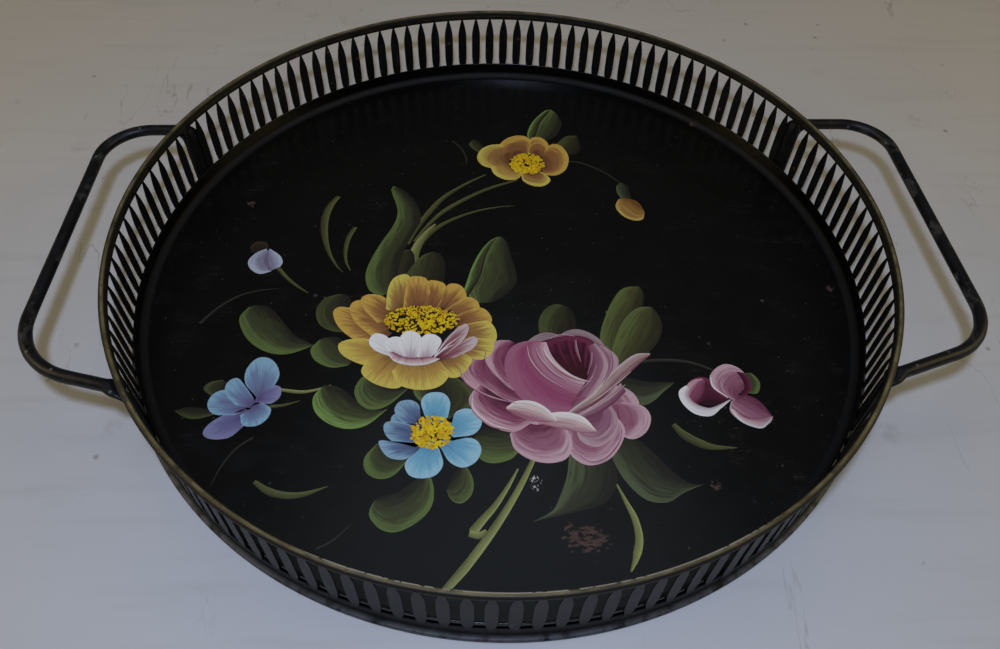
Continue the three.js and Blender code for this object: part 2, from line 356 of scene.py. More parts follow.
def black_lacquer():
    finish = Finish("black_lacquer", Specular_IOR_Level=0.36, Coat_Roughness=0.2)
    spot = finish.place()
    cloud = finish.noise(spot, 60, 4)
    fine = finish.noise(spot, 2.2, 3)
    rubbed = finish.noise(finish.stretched(spot, (1, 1.6, 1)), 26, 5, 0.6)
    base = finish.blend(cloud, linear("070707"), linear("0D0C0B"))
    squeezed = finish.stretched(spot, (RUST_SQUEEZE, 1, 1))
    rust_edge = finish.near(squeezed, RUST_PATCH, RUST_REACH, 2.2, 2.2)
    rust_holes = finish.noise(finish.stretched(spot, (0.8, 1.4, 1)), 2.4, 4).step(0.40, 0.56)
    rust = rust_edge * rust_holes
    for centre in SMALL_RUST:
        rust = rust.most(finish.near(spot, centre, 2.4, 2.2, 2.0) * rust_holes)
    rust_colour = finish.blend(fine, linear("33261F"), linear("694F45"))
    scuff = finish.near(finish.stretched(spot, (1.5, 1, 1)), SCUFF, 3.6, 2.4, 1.6)
    scuff = scuff * finish.noise(spot, 1.3, 3).step(0.5, 0.6)
    chips = finish.specks(spot, 5.0, 0.03) * finish.noise(spot, 40, 2).step(0.55, 0.66)
    dust = finish.specks(spot, 2.4, 0.09) * fine.step(0.48, 0.62)
    scratch_line = finish.noise(finish.stretched(spot, (0.03, 1.3, 1)), 1.0, 2, 0.4, 0.2)
    scratches = (1 - abs(scratch_line - 0.5).step(0.0, 0.012)) * finish.noise(spot, 17, 2).step(0.56, 0.66)
    colour = finish.blend(dust * 0.30, base, linear("6F6C66"))
    colour = finish.blend(scratches * 0.12, colour, linear("77736C"))
    colour = finish.blend(chips * 0.4, colour, linear("9A8F80"))
    level = finish.parts(spot)[2]
    cove = level.step(2.02, 2.4) * (1 - level.step(4.4, 6.0))
    # Painted shade: above the floor, on the cove and the upstand, the black is painted deeper still, for
    # the shade in the recess by the gallery.
    colour = finish.blend(level.step(2.02, 2.3), colour, linear("030303"))
    colour = finish.blend(scuff, colour, linear("C9C6C2"))
    colour = finish.blend(rust, colour, rust_colour)
    finish.set("Base Color", colour)
    dulled = rubbed.step(0.45, 0.75) * 0.12 + dust * 0.1
    finish.set("Roughness", 0.24 + dulled + rust * 0.5 + scuff * 0.3 + cove * 0.4)
    finish.set("Coat Weight", 0.12 - rust.most(scuff).most(cove) * 0.12)
    dents = finish.noise(spot, 55, 2)
    wide = finish.bump(dents, 0.25 * MM)
    height = rust * 1.5 + scuff * 0.6 - scratches * 0.3 + fine * 0.05
    finish.set("Normal", finish.bump(height, 0.06 * MM, wide))
    return finish


lacquer = black_lacquer()
print("lacquer nodes:", len(lacquer.tree.nodes))

# %% [markdown]
# The pan is spun from one sheet: a flat floor, a small cove and a low upstand that stands inside
# the gallery. A section with the sheet's thickness, carried round the axis, gives both skins. The
# upstand's edge is rounded as a trimmed sheet is.

# %% Pan
COVE = 4 * MM


def pan_section():
    inner = pan_radius - PAN_SHEET
    centre = (inner - COVE, floor_level + COVE)
    lip = pan_high.z - PAN_SHEET / 2
    section = [(0, pan_low.z), (60 * MM, pan_low.z), (140 * MM, pan_low.z)]
    section += arc(centre, COVE + PAN_SHEET, -90, 0, 8)
    section += arc((inner + PAN_SHEET / 2, lip), PAN_SHEET / 2, 0, 180, 6)
    section += arc(centre, COVE, 0, -90, 8)
    section += [(140 * MM, floor_level), (60 * MM, floor_level), (0, floor_level)]
    return section


pan = solid("pan_lacquered", *swept_disc(pan_section(), SIDES), lacquer, "black_lacquer", "pan")
print("pan faces:", len(pan.data.polygons))

# %% [markdown]
# The gallery is painted with a thinner, duller black. Handling has rubbed it to grey in places, and
# brass-coloured paint from the rim has strayed on to the upper band.

# %% Gallery paint
def gallery_paint():
    finish = Finish("gallery_paint", Specular_IOR_Level=0.27)
    spot = finish.place()
    cloud = finish.noise(spot, 18, 4)
    grain = finish.noise(spot, 0.9, 3)
    flow = finish.noise(finish.stretched(spot, (1, 1, 0.25)), 2.6, 3)
    base = finish.blend(cloud.step(0.3, 0.7), linear("0A0A0B"), linear("121314"))
    worn = flow.step(0.56, 0.72) * cloud.step(0.45, 0.6)
    colour = finish.blend(worn * 0.4, base, linear("3A3B3D"))
    level = finish.parts(spot)[2]
    stray = level.step(43.6, 46.6) * finish.noise(spot, 7, 4).step(0.28, 0.62)
    colour = finish.blend(stray * 0.55, colour, linear("4B4226"))
    flecks = finish.specks(spot, 4.2, 0.06)
    colour = finish.blend(flecks * 0.6, colour, linear("6A4A38"))
    # The foot is rubbed to bare grey metal, and it is painted lighter there as well, as a painted
    # highlight along its bead.
    foot_wear_and_highlight = (1 - level.step(1.9, 3.1)) * finish.noise(spot, 5, 4).step(0.30, 0.58)
    colour = finish.blend(foot_wear_and_highlight * 0.6, colour, linear("777A7E"))
    finish.set("Base Color", colour)
    finish.set("Roughness", 0.40 + cloud * 0.14 - worn * 0.08)
    finish.set("Metallic", foot_wear_and_highlight * 0.5)
    finish.set("Normal", finish.bump(grain * 0.4 + flow, 0.05 * MM))
    return finish


strip_paint = gallery_paint()
print("gallery paint nodes:", len(strip_paint.tree.nodes))

# %% [markdown]
# The gallery is one strip, pierced by a press tool and bent into a ring. What is left between two
# slots is a picket with a narrow neck, sloping shoulders and a rounded foot. The strip is built
# picket by picket from rows of corners on its outside and inside faces, so each slot is a real
# opening with cut edges, and a small bevel breaks those edges.

# %% Pierced strip
SLOTS = 131
PITCH = 2 * math.pi / SLOTS
SLOT_FOOT = 8.3 * MM
WAIST_LOW = 17.6 * MM
WAIST_HIGH = 32.7 * MM
SLOT_HEAD = 43.7 * MM
NECK_SHARE = 0.12           # width of a picket as a share of the pitch: neck, middle, foot
BODY_SHARE = 0.58
TOE_SHARE = 0.32
STRIP_TOP = 46.28 * MM      # the rolled rim goes on from here
FOOT_BEAD = 1.05 * MM       # radius of the folded foot
CUT_BREAK = 0.09 * MM       # width of the bevel on the cut edges
SHOULDER_ROWS = 7
TOE_ROWS = 5


def picket_rows():
    """Levels up one picket, each with half its width as an angle."""
    half = [share * PITCH / 2 for share in (TOE_SHARE, BODY_SHARE, NECK_SHARE)]
    rows = []
    for i in range(TOE_ROWS + 1):
        t = i / TOE_ROWS
        rows.append((SLOT_FOOT + (WAIST_LOW - SLOT_FOOT) * t,
                     half[1] - (half[1] - half[0]) * (1 - t) ** 2.0))
    rows.append(((WAIST_LOW + WAIST_HIGH) / 2, half[1] * 1.02))
    for i in range(SHOULDER_ROWS + 1):
        t = i / SHOULDER_ROWS
        slope = t ** 1.45
        rows.append((WAIST_HIGH + (SLOT_HEAD - WAIST_HIGH) * t, half[1] + (half[2] - half[1]) * slope))
    return rows


def foot_section():
    """From the outside face under the slots, round the folded foot, to the inside face."""
    nose = (foot_radius - FOOT_BEAD, 1.3 * MM)
    section = [(wall_outside, 5.4 * MM), (wall_outside, 3.3 * MM), (wall_outside + 0.35 * MM, 2.75 * MM)]
    section += arc(nose, FOOT_BEAD, 80, -62, 6)
    section += [(wall_outside - 0.2 * MM, 0.0), (wall_inside, 0.1 * MM), (wall_inside, 3.0 * MM)]
    return section


def strip_head_section():
    """From the outside face over the slots, over the strip's top edge, to the inside face."""
    middle = (SLOT_HEAD + STRIP_TOP) / 2
    return [(wall_outside, middle), (wall_outside, STRIP_TOP), (wall_inside, STRIP_TOP),
            (wall_inside, middle)]


def pierced_strip():
    rows = picket_rows()
    foot, head = foot_section(), strip_head_section()
    corners, cells = [], []

    def row(section_point, angles):
        first = len(corners)
        corners.extend(on_ring(section_point[0], a, section_point[1]) for a in angles)
        return list(range(first, first + len(angles)))

    for n in range(SLOTS):
        middle = n * PITCH

        def columns(half):
            gap = PITCH - 2 * half
            return [middle - half, middle + half] + [middle + half + gap * k / 4 for k in (1, 2, 3)]

        low, high = columns(rows[0][1]), columns(rows[-1][1])
        cell = {"foot": [row((wall_outside, rows[0][0]), low)]}
        cell["foot"] += [row(p, low) for p in foot]
        cell["foot"].append(row((wall_inside, rows[0][0]), low))
        cell["head"] = [row((wall_outside, rows[-1][0]), high)]
        cell["head"] += [row(p, high) for p in head]
        cell["head"].append(row((wall_inside, rows[-1][0]), high))
        for side, radius, end in (("out", wall_outside, 0), ("in", wall_inside, -1)):
            inner = [row((radius, z), (middle - w, middle + w)) for z, w in rows[1:-1]]
            cell[side] = [cell["foot"][end][:2], *inner, cell["head"][end][:2]]
        cells.append(cell)

    faces = []
    for n, cell in enumerate(cells):
        following = cells[(n + 1) % SLOTS]
        for part in ("foot", "head"):
            for k, here in enumerate(cell[part][:-1]):
                above = cell[part][k + 1]
                ends = here + [following[part][k][0]], above + [following[part][k + 1][0]]
                faces += [(ends[0][j], ends[0][j + 1], ends[1][j + 1], ends[1][j]) for j in range(5)]
            outer = cell[part][0] + [following[part][0][0]]
            inner = cell[part][-1] + [following[part][-1][0]]
            faces += [(outer[j], outer[j + 1], inner[j + 1], inner[j]) for j in range(1, 5)]
        for k in range(len(rows) - 1):
            for side in ("out", "in"):
                (a, b), (c, d) = cell[side][k], cell[side][k + 1]
                faces.append((a, b, d, c))
            for j in (0, 1):
                faces.append((cell["out"][k][j], cell["out"][k + 1][j], cell["in"][k + 1][j],
                              cell["in"][k][j]))
    return corners, faces


strip = solid("gallery_strip", *pierced_strip(), strip_paint, "gallery_paint", "gallery", math.radians(50))
edge_break = strip.modifiers.new("cut edges", "BEVEL")
edge_break.width = CUT_BREAK
edge_break.segments = 1
edge_break.limit_method = "ANGLE"
edge_break.angle_limit = math.radians(55)
print("strip:", SLOTS, "slots,", len(strip.data.polygons), "faces")

# %% [markdown]
# The strip's two ends overlap at one picket. The outer end is a tongue with nearly the picket's own
# outline, which lies over the picket behind it and runs on down to the foot.

# %% Lap of the strip
LAP_PICKET = 108
LAP_SHEET = 0.28 * MM


def lap_tongue():
    middle = LAP_PICKET * PITCH
    half = BODY_SHARE * PITCH / 2
    # Level in millimetres, and the tongue's width there as a share of a picket's.
    levels = [(3.2, 0.86), (3.8, 0.96), (8.3, 1.0), (17.6, 1.0), (32.7, 0.99), (36, 0.86), (40, 0.55),
              (43.7, 0.24), (45.6, 0.22)]
    corners, faces = [], []
    for level, share in levels:
        for radius in (wall_outside - 0.02 * MM, wall_outside + LAP_SHEET):
            corners += [on_ring(radius, middle + k * share * half, level * MM) for k in (-1, 0, 1)]
    for i in range(len(levels) - 1):
        ring = [0, 1, 2, 5, 4, 3]
        for j in range(6):
            a, b = i * 6 + ring[j], i * 6 + ring[(j + 1) % 6]
            faces.append((a, b, b + 6, a + 6))
    last = (len(levels) - 1) * 6
    for start in (0, last):
        faces += [(start, start + 1, start + 4, start + 3), (start + 1, start + 2, start + 5, start + 4)]
    return corners, faces


solid("strip_lap", *lap_tongue(), strip_paint, "gallery_paint")
print("lap over picket", LAP_PICKET)

# %% [markdown]
# The strip's top edge is rolled outwards over an iron wire. It was finished with bronze powder
# paint, now dull olive, rubbed through on the crest at the front, where hands reach over it: bare
# bright tin there, painted near-white as well for the bright highlight along that crest, with
# specks of rust beside it.

# %% Rim finish
TIN_HIGHLIGHT_FROM, TIN_HIGHLIGHT_TO = -112, -66     # degrees round the tray between which the crest is bare tin with a painted highlight


def rim_gold():
    finish = Finish("rim_gold", Specular_IOR_Level=0.36)
    spot = finish.place()
    x, y, z = finish.parts(spot)
    cloud = finish.noise(spot, 9, 5)
    grain = finish.noise(spot, 0.8, 4)
    dark = finish.noise(finish.stretched(spot, (1, 1, 2)), 14, 5, 0.65)
    base = finish.blend(cloud.step(0.3, 0.7), linear("5C5230"), linear("82764F"))
    far = (x ** 2 + y ** 2) ** 0.5
    # Away from a band along the top of the roll, the colour runs to near-black.
    crest_band = far.step(190.2, 190.9) * (1 - far.step(191.2, 192.3))
    colour = finish.blend(1 - crest_band * (1 - dark.step(0.46, 0.66) * 0.7), base, linear("1E1C16"))
    crest = z.step(48.0, 48.75)
    turn = y.maths("ARCTAN2", y, x) * (180 / math.pi)
    front = turn.step(TIN_HIGHLIGHT_FROM - 10, TIN_HIGHLIGHT_FROM + 8) * (1 - turn.step(TIN_HIGHLIGHT_TO - 8, TIN_HIGHLIGHT_TO + 14))
    broken = finish.noise(spot, 3.2, 4).step(0.36, 0.50)
    inner_edge = 1 - far.step(190.5, 191.1)
    elsewhere = finish.noise(spot, 3.2, 4).step(0.66, 0.74) * 0.22
    # Painted highlight: on the front crest the bare tin is painted near-white, for both the worn metal and
    # the bright highlight along it.
    bare_tin_and_highlight = crest * inner_edge * (front * broken + elsewhere).step(0.2, 0.75)
    rusty = crest * finish.noise(spot, 2.6, 4).step(0.60, 0.68)
    colour = finish.blend(rusty * 0.7, colour, linear("5A3322"))
    colour = finish.blend(bare_tin_and_highlight, colour, linear("ECE6D6"))
    # The lower part of the roll is coloured darker.
    underside = 1 - z.step(46.2, 47.4)
    colour = finish.blend(underside * 0.7, colour, linear("1A1A18"))
    finish.set("Base Color", colour)
    finish.set("Metallic", 0.12 + bare_tin_and_highlight * 0.5 - rusty * 0.1)
    finish.set("Roughness", 0.46 + cloud * 0.12 - bare_tin_and_highlight * 0.14)
    finish.set("Normal", finish.bump(cloud + grain * 0.5 - bare_tin_and_highlight * 0.6, 0.08 * MM))
    return finish


gilding = rim_gold()
print("rim finish nodes:", len(gilding.tree.nodes))

# %% [markdown]
# The roll is three quarters of a circle in section, open underneath, with the wire inside it. A
# hand-turned edge is never quite true, so its height and reach wander by up to about a tenth of a
# millimetre. Where its ends meet, one lies over the other and shows as a second line.

# %% Rolled rim
ROLL_START = 180
ROLL_END = -90


def roll_wander(angle):
    outward = 0.05 * math.sin(5 * angle + 0.7) + 0.03 * math.sin(13 * angle)
    lift = 0.04 * math.sin(7 * angle + 2.0) + 0.03 * math.sin(17 * angle + 1.0) - 0.07
    return outward * MM, lift * MM


def roll_section():
    centre = (roll_radius, roll_level)
    section = [(wall_inside, STRIP_TOP + 0.02 * MM)]
    section += arc(centre, ROLL, ROLL_START, ROLL_END, 20)
    section += arc(centre, ROLL - SHEET, ROLL_END, ROLL_START, 16)
    return section + [(wall_outside, STRIP_TOP + 0.02 * MM)]


rim_shape = swept_ring(roll_section(), 3 * SLOTS, wobble=roll_wander)
rim = solid("rolled_rim", *rim_shape, gilding, "rim_gold", "gallery")

RIM_LAP_FROM, RIM_LAP_TO = 222.0, 238.5


def rim_lap_section():
    centre = (roll_radius, roll_level)
    return arc(centre, ROLL + 0.12 * MM, 172, 96, 8) + arc(centre, ROLL - 0.10 * MM, 96, 172, 8)


start, sweep = math.radians(RIM_LAP_FROM), math.radians(RIM_LAP_TO - RIM_LAP_FROM)
solid("rim_lap", *swept_ring(rim_lap_section(), 40, start, sweep), gilding, "rim_gold")
print("rim faces:", len(rim.data.polygons), "lap:", round(RIM_LAP_TO - RIM_LAP_FROM, 1), "degrees")

# %% [markdown]
# The wire shows only as a shadow in the open underside of the roll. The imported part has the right
# shape, so it stays and gets a drawn iron finish.

# %% Rim wire finish
def bare_wire():
    finish = Finish("bare_wire")
    spot = finish.place()
    drawn = finish.noise(spot, 1.2, 4)
    rusty = finish.noise(spot, 6, 4).step(0.45, 0.62)
    finish.set("Base Color", finish.blend(rusty, linear("6D6A64"), linear("4E3021")))
    finish.set("Metallic", 0.9 - rusty * 0.7)
    finish.set("Roughness", 0.42 + rusty * 0.35)
    finish.set("Normal", finish.bump(drawn, 0.03 * MM))
    return finish


wire_object = bpy.data.objects["rim_wire"]
wire_object.data.materials.clear()
wire_object.data.materials.append(bare_wire().material)
print("wire keeps its packed shape")

# %% [markdown]
# Each handle is a rod, heated and bent to a rounded rectangle, whose two ends are hammered flat
# and turned down against the gallery. It is brushed black. Hands have rubbed the paint to a grey
# film on the grip, so the worn mask grows with the distance from the tray.

# %% Handle paint
def handle_paint():
    finish = Finish("handle_paint", Specular_IOR_Level=0.36)
    spot = finish.place()
    cloud = finish.noise(spot, 11, 5)
    grain = finish.noise(spot, 0.8, 3)
    worn = finish.noise(finish.stretched(spot, (1.2, 0.7, 1.2)), 9, 5, 0.62).step(0.53, 0.66)
    reach = abs(finish.parts(spot)[0]).step(204, 222)
    base = finish.blend(cloud.step(0.3, 0.7), linear("08080A"), linear("121317"))
    colour = finish.blend(worn * (0.15 + reach * 0.5), base, linear("4A4844"))
    nicks = finish.specks(spot, 3.4, 0.10)
    colour = finish.blend(nicks * 0.6, colour, linear("7A7670"))
    finish.set("Base Color", colour)
    finish.set("Roughness", 0.36 + cloud * 0.1 + worn * 0.16)
    finish.set("Normal", finish.bump(grain + cloud * 2 - worn * 0.5, 0.05 * MM))
    return finish


rod_paint = handle_paint()
print("handle paint nodes:", len(rod_paint.tree.nodes))

# %% [markdown]
# The two handles were bent by hand, so they aren't quite alike: the left one stands closer to the
# wall and its front leg slants less. Each is described by its two ends. A list of stations runs
# from one hammered tip, up the paddle, round the turn and the bend, to the grip, and the sweep
# joins a section at every station. The left one is made on the right and then mirrored.

# %% Handles
ROD = 3 * MM                  # radius of the rod
PADDLE_HALF = 6 * MM          # half the width of a flattened end
PADDLE_THIN = 1 * MM          # half its thickness
PADDLE_FOOT = handle_low.z
TURN = 8 * MM                 # size of the turn from the paddle into the leg
SKIN = 0.02 * MM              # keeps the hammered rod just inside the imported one
paddle_radius = wall_outside + 0.4 * MM + PADDLE_THIN
rod_level = handle_high.z - ROD
# The two ends of each handle: place on the wall, the leg's slant, the bend's radius.
RIGHT_ENDS = [(26.0, 0.0, 24 * MM), (-29.9, 19.0, 32 * MM)]
LEFT_ENDS = [(24.5, 0.0, 24 * MM), (-30.0, 15.0, 36 * MM)]


def bezier(a, b, c, t):
    return (1 - t) ** 2 * a + 2 * t * (1 - t) * b + t * t * c


def mix(a, b, t):
    return a + (b - a) * t


def end_stations(grip_x, wall_angle, slant, bend):
    """Centre, direction across, half width and half thickness, from the paddle's tip to the grip."""
    side = math.copysign(1, wall_angle)
    wall = Vector((paddle_radius * math.cos(math.radians(wall_angle)),
                   paddle_radius * math.sin(math.radians(wall_angle)), 0))
    leg = Vector((math.cos(math.radians(slant)), math.sin(math.radians(slant)), 0))
    out = Vector((-leg.y, leg.x, 0)) * side
    paddle_across = math.radians(wall_angle + 90 * side)
    leg_across = math.radians(slant + 90 * side)
    stations = []
    for rise, share in ((0, 0.42), (0.35, 0.62), (1.0, 0.80), (2.0, 0.93), (3.4, 1), (12, 1), (20, 1.02)):
        at = wall + Vector((0, 0, PADDLE_FOOT + rise * MM))
        stations.append((at, paddle_across, PADDLE_HALF * share, PADDLE_THIN))
    up = Vector((0, 0, rod_level))
    for i in range(11):
        t = i / 10
        at = bezier(wall + up - Vector((0, 0, TURN)), wall + up, wall + leg * TURN + up, t)
        turned = mix(paddle_across, leg_across, t ** 3)
        stations.append((at, turned, mix(PADDLE_HALF, ROD, t * t), mix(PADDLE_THIN, ROD, t * t)))
    corner_x = grip_x - bend
    length = (corner_x + bend * out.x - wall.x) / leg.x
    corner = wall + leg * length - out * bend
    leg_start, leg_end = wall + leg * TURN, wall + leg * length
    for i in range(1, 5):
        stations.append((leg_start.lerp(leg_end, i / 5) + up, leg_across, ROD, ROD))
    first = math.atan2(out.y, out.x)
    for i in range(17):
        a = mix(first, 0, i / 16)
        at = corner + Vector((math.cos(a), math.sin(a), 0)) * bend + up
        stations.append((at, a, ROD, ROD))
    return stations


def handle_shape(ends, grip_x, mirror):
    upper = end_stations(grip_x, *ends[0])
    lower = end_stations(grip_x, *ends[1])[::-1]
    grip = [(upper[-1][0].lerp(lower[0][0], i / 10), 0.0, ROD, ROD) for i in range(1, 10)]
    stations = upper + grip + lower
    around = 20
    corners = []
    for i, (at, angle, wide, thin) in enumerate(stations):
        before, after = stations[max(i - 1, 0)][0], stations[min(i + 1, len(stations) - 1)][0]
        along = (after - before).normalized()
        across = Vector((math.cos(angle), math.sin(angle), 0))
        across = (across - across.dot(along) * along).normalized()
        through = along.cross(across)
        power = 1 - 0.45 * (1 - (thin - PADDLE_THIN) / (ROD - PADDLE_THIN))
        uneven = 1 + 0.012 * math.sin(i * 1.7) * (1 if thin > 0.99 * ROD else 0)
        half_wide = wide if wide > ROD else wide * uneven - SKIN
        half_thin = thin * uneven if thin < ROD else thin - SKIN
        for k in range(around):
            a = 2 * math.pi * (k + 0.5) / around
            c, s = math.cos(a), math.sin(a)
            wide_part = math.copysign(abs(c) ** power, c) * half_wide
            thin_part = math.copysign(abs(s) ** power, s) * half_thin
            corners.append(at + across * wide_part + through * thin_part)
    if mirror:
        corners = [Vector((-p.x, p.y, p.z)) for p in corners]
    faces = []
    for i in range(len(stations) - 1):
        for k in range(around):
            j = (k + 1) % around
            faces.append((i * around + k, i * around + j, (i + 1) * around + j, (i + 1) * around + k))
    last = (len(stations) - 1) * around
    faces += [tuple(range(around)), tuple(range(last, last + around))]
    return corners, faces


right_x = handle_high.x - ROD
left_x = -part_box("left_handle")[0].x - ROD
for name, ends, grip_x, mirror in (("right_handle", RIGHT_ENDS, right_x, False),
                                   ("left_handle", LEFT_ENDS, left_x, True)):
    rod = solid(name + "_rod", *handle_shape(ends, grip_x, mirror), rod_paint, "handle_paint", name)
    print(name, len(rod.data.polygons), "faces")

# %% [markdown]
# The bouquet is painted wet, one brush stroke to a petal or a leaf. The brush is loaded with a
# light colour on one side and a dark one on the other, so each stroke shades across its width and
# keeps the marks of the bristles. A stroke is modelled the same way: an outer line where the light
# paint goes, an inner line where the dark paint goes, and a thin body of paint between them. Each
# later stroke lies a few thousandths of a millimetre higher, so that it covers the earlier ones.

# %% Paints on the palette
PAINTS = {                  # light side, middle, dark side of the brush
    "leaf": ("66783F", "43482A", "24211A"),
    "fresh leaf": ("80A052", "484F2B", "27231A"),
    "dull leaf": ("4E552E", "35351F", "1F1C14"),
    "olive leaf": ("64703C", "4A4B28", "2C2A1A"),
    "grey leaf": ("5A6344", "3A3D2B", "25241C"),
    "stem": ("A0A464", "868A50", "62663A"),
    "dull stem": ("686B3A", "565932", "3C3D24"),
    "faint stem": ("403F30", "33332A", "24241F"),
    "yellow": ("E2D060", "A67C44", "70482A"),
    "orange": ("DCB452", "A06E3E", "6C432C"),
    "deep yellow": ("E2CE60", "C29A4C", "8E6436"),
    "egg yellow": ("F6DC20", "E8BC16", "C08810"),
    "white": ("FCFCF8", "F2F0EA", "C2A2AE"),
    "blush": ("F2ECE6", "D6B4B2", "944E60"),
    "rosy white": ("DCC8C6", "A0646A", "642834"),
    "faded rose": ("D6C6C0", "B4948F", "75404E"),
    "rose": ("D6B2B8", "A66C80", "70324A"),
    "dusty rose": ("C8A8AC", "9C6A7C", "784258"),
    "deep rose": ("D6ACB2", "924E68", "501A30"),
    "rose bowl": ("AC6A82", "9C486C", "AC6C84"),
    "bowl rim": ("DCBEC2", "B47C8E", "9C4A6C"),
    "curl": ("F6F0E6", "DEC6BE", "A86A7A"),
    "light rose": ("E6CCCC", "B88092", "7E3C58"),
    "pale rose": ("A68E92", "785C66", "4C303C"),
    "dark rose": ("782E4A", "591A34", "340E1E"),
    "heart": ("5C1E34", "46131F", "2A0A14"),
    "blue": ("A6D2E0", "78B6CE", "5C94B8"),
    "blue shade": ("94BACC", "64789C", "40425F"),
    "lilac": ("98C2D4", "7C8EAE", "665E84"),
    "pale lilac": ("C2CCDA", "9C9CB0", "7A6C88"),
    "mauve": ("9494B6", "7A76A0", "5C4F7A"),
    "bud": ("C4A460", "A07838", "785024"),
    "brown": ("3E3223", "2C2218", "1C1812"),
}
print(len(PAINTS), "paints")

# %% [markdown]
# One material paints every stroke. Each stroke carries its three colours, a side that runs from 0
# on the light edge to 1 on the dark edge, and coordinates in millimetres in which the bristles run
# straight. Noise stretched along the bristles streaks the shading and the surface. The raised
# bodies are thicker than real paint, because each has to stay above the strokes it covers.

# %% Flower paint
STROKE_COLOURS = ("light", "middle", "dark")
STROKE_SIDE = "side"
STROKE_BRUSH = "brush"


def flower_paint():
    finish = Finish("flower_paint", Specular_IOR_Level=0.35)

    def carried(name, output):
        return finish.node("ShaderNodeAttribute", {"attribute_name": name}, output=output)

    brush = carried(STROKE_BRUSH, "Vector")
    side = carried(STROKE_SIDE, "Fac")
    light, middle, dark = [carried(name, "Color") for name in STROKE_COLOURS]
    bristles = finish.noise(finish.stretched(brush, (1, 0.045, 1)), 0.75, 3, 0.6)
    swathes = finish.noise(finish.stretched(brush, (1, 0.10, 1)), 2.6, 2)
    load = side + (bristles - 0.5) * 0.62 + (swathes - 0.5) * 0.5
    colour = finish.blend(load.step(0.02, 0.46), light, middle)
    colour = finish.blend(load.step(0.42, 1.0), colour, dark)
    furrow = bristles.step(0.52, 0.74)
    colour = finish.blend(furrow * 0.42, colour, dark)
    finish.set("Base Color", colour)
    finish.set("Roughness", 0.42 + bristles * 0.16)
    finish.set("Normal", finish.bump(bristles - furrow * 0.3, 0.05 * MM))
    return finish


oil_paint = flower_paint()
print("paint nodes:", len(oil_paint.tree.nodes))

# %% [markdown]
# `Painting` collects the strokes of one flower and turns them into one piece. A smooth curve runs
# through the few points of each line. Strokes pulled from the middle of a flower outwards have
# their bristle marks across the shading, and the others have them along it.

# %% Strokes, stems and dabs
LAYER = 0.004 * MM            # each stroke lies this much above the last
DAB_RISE = 0.08 * MM          # and each scatter of dabs this much
DAB_DOME = 0.08               # height of a dab over its radius
DAB_SIDES = 7
PAINT_ROOT = 0.05 * MM        # how far the paint's underside sinks into the lacquer
BRISTLE_STEP = 7.3            # moves every stroke to its own part of the bristle noise


def smooth_line(points, steps):
    """steps + 1 points, evenly spread by length, on a curve through a few given points."""
    line = [Vector(p) for p in points]
    padded = [line[0] * 2 - line[1], *line, line[-1] * 2 - line[-2]]
    dense = []
    for a, b, c, d in zip(padded, padded[1:], padded[2:], padded[3:]):
        for i in range(12):
            t = i / 12
            dense.append(0.5 * (2 * b + (c - a) * t + (2 * a - 5 * b + 4 * c - d) * t ** 2
                                + (3 * b - a - 3 * c + d) * t ** 3))
    dense.append(line[-1])
    lengths = [0.0]
    for p, q in zip(dense, dense[1:]):
        lengths.append(lengths[-1] + (q - p).length)
    out, k = [], 0
    for i in range(steps + 1):
        target = lengths[-1] * i / steps
        while k < len(dense) - 2 and lengths[k + 1] < target:
            k += 1
        span = max(lengths[k + 1] - lengths[k], 1e-9)
        out.append(dense[k].lerp(dense[k + 1], (target - lengths[k]) / span))
    return out


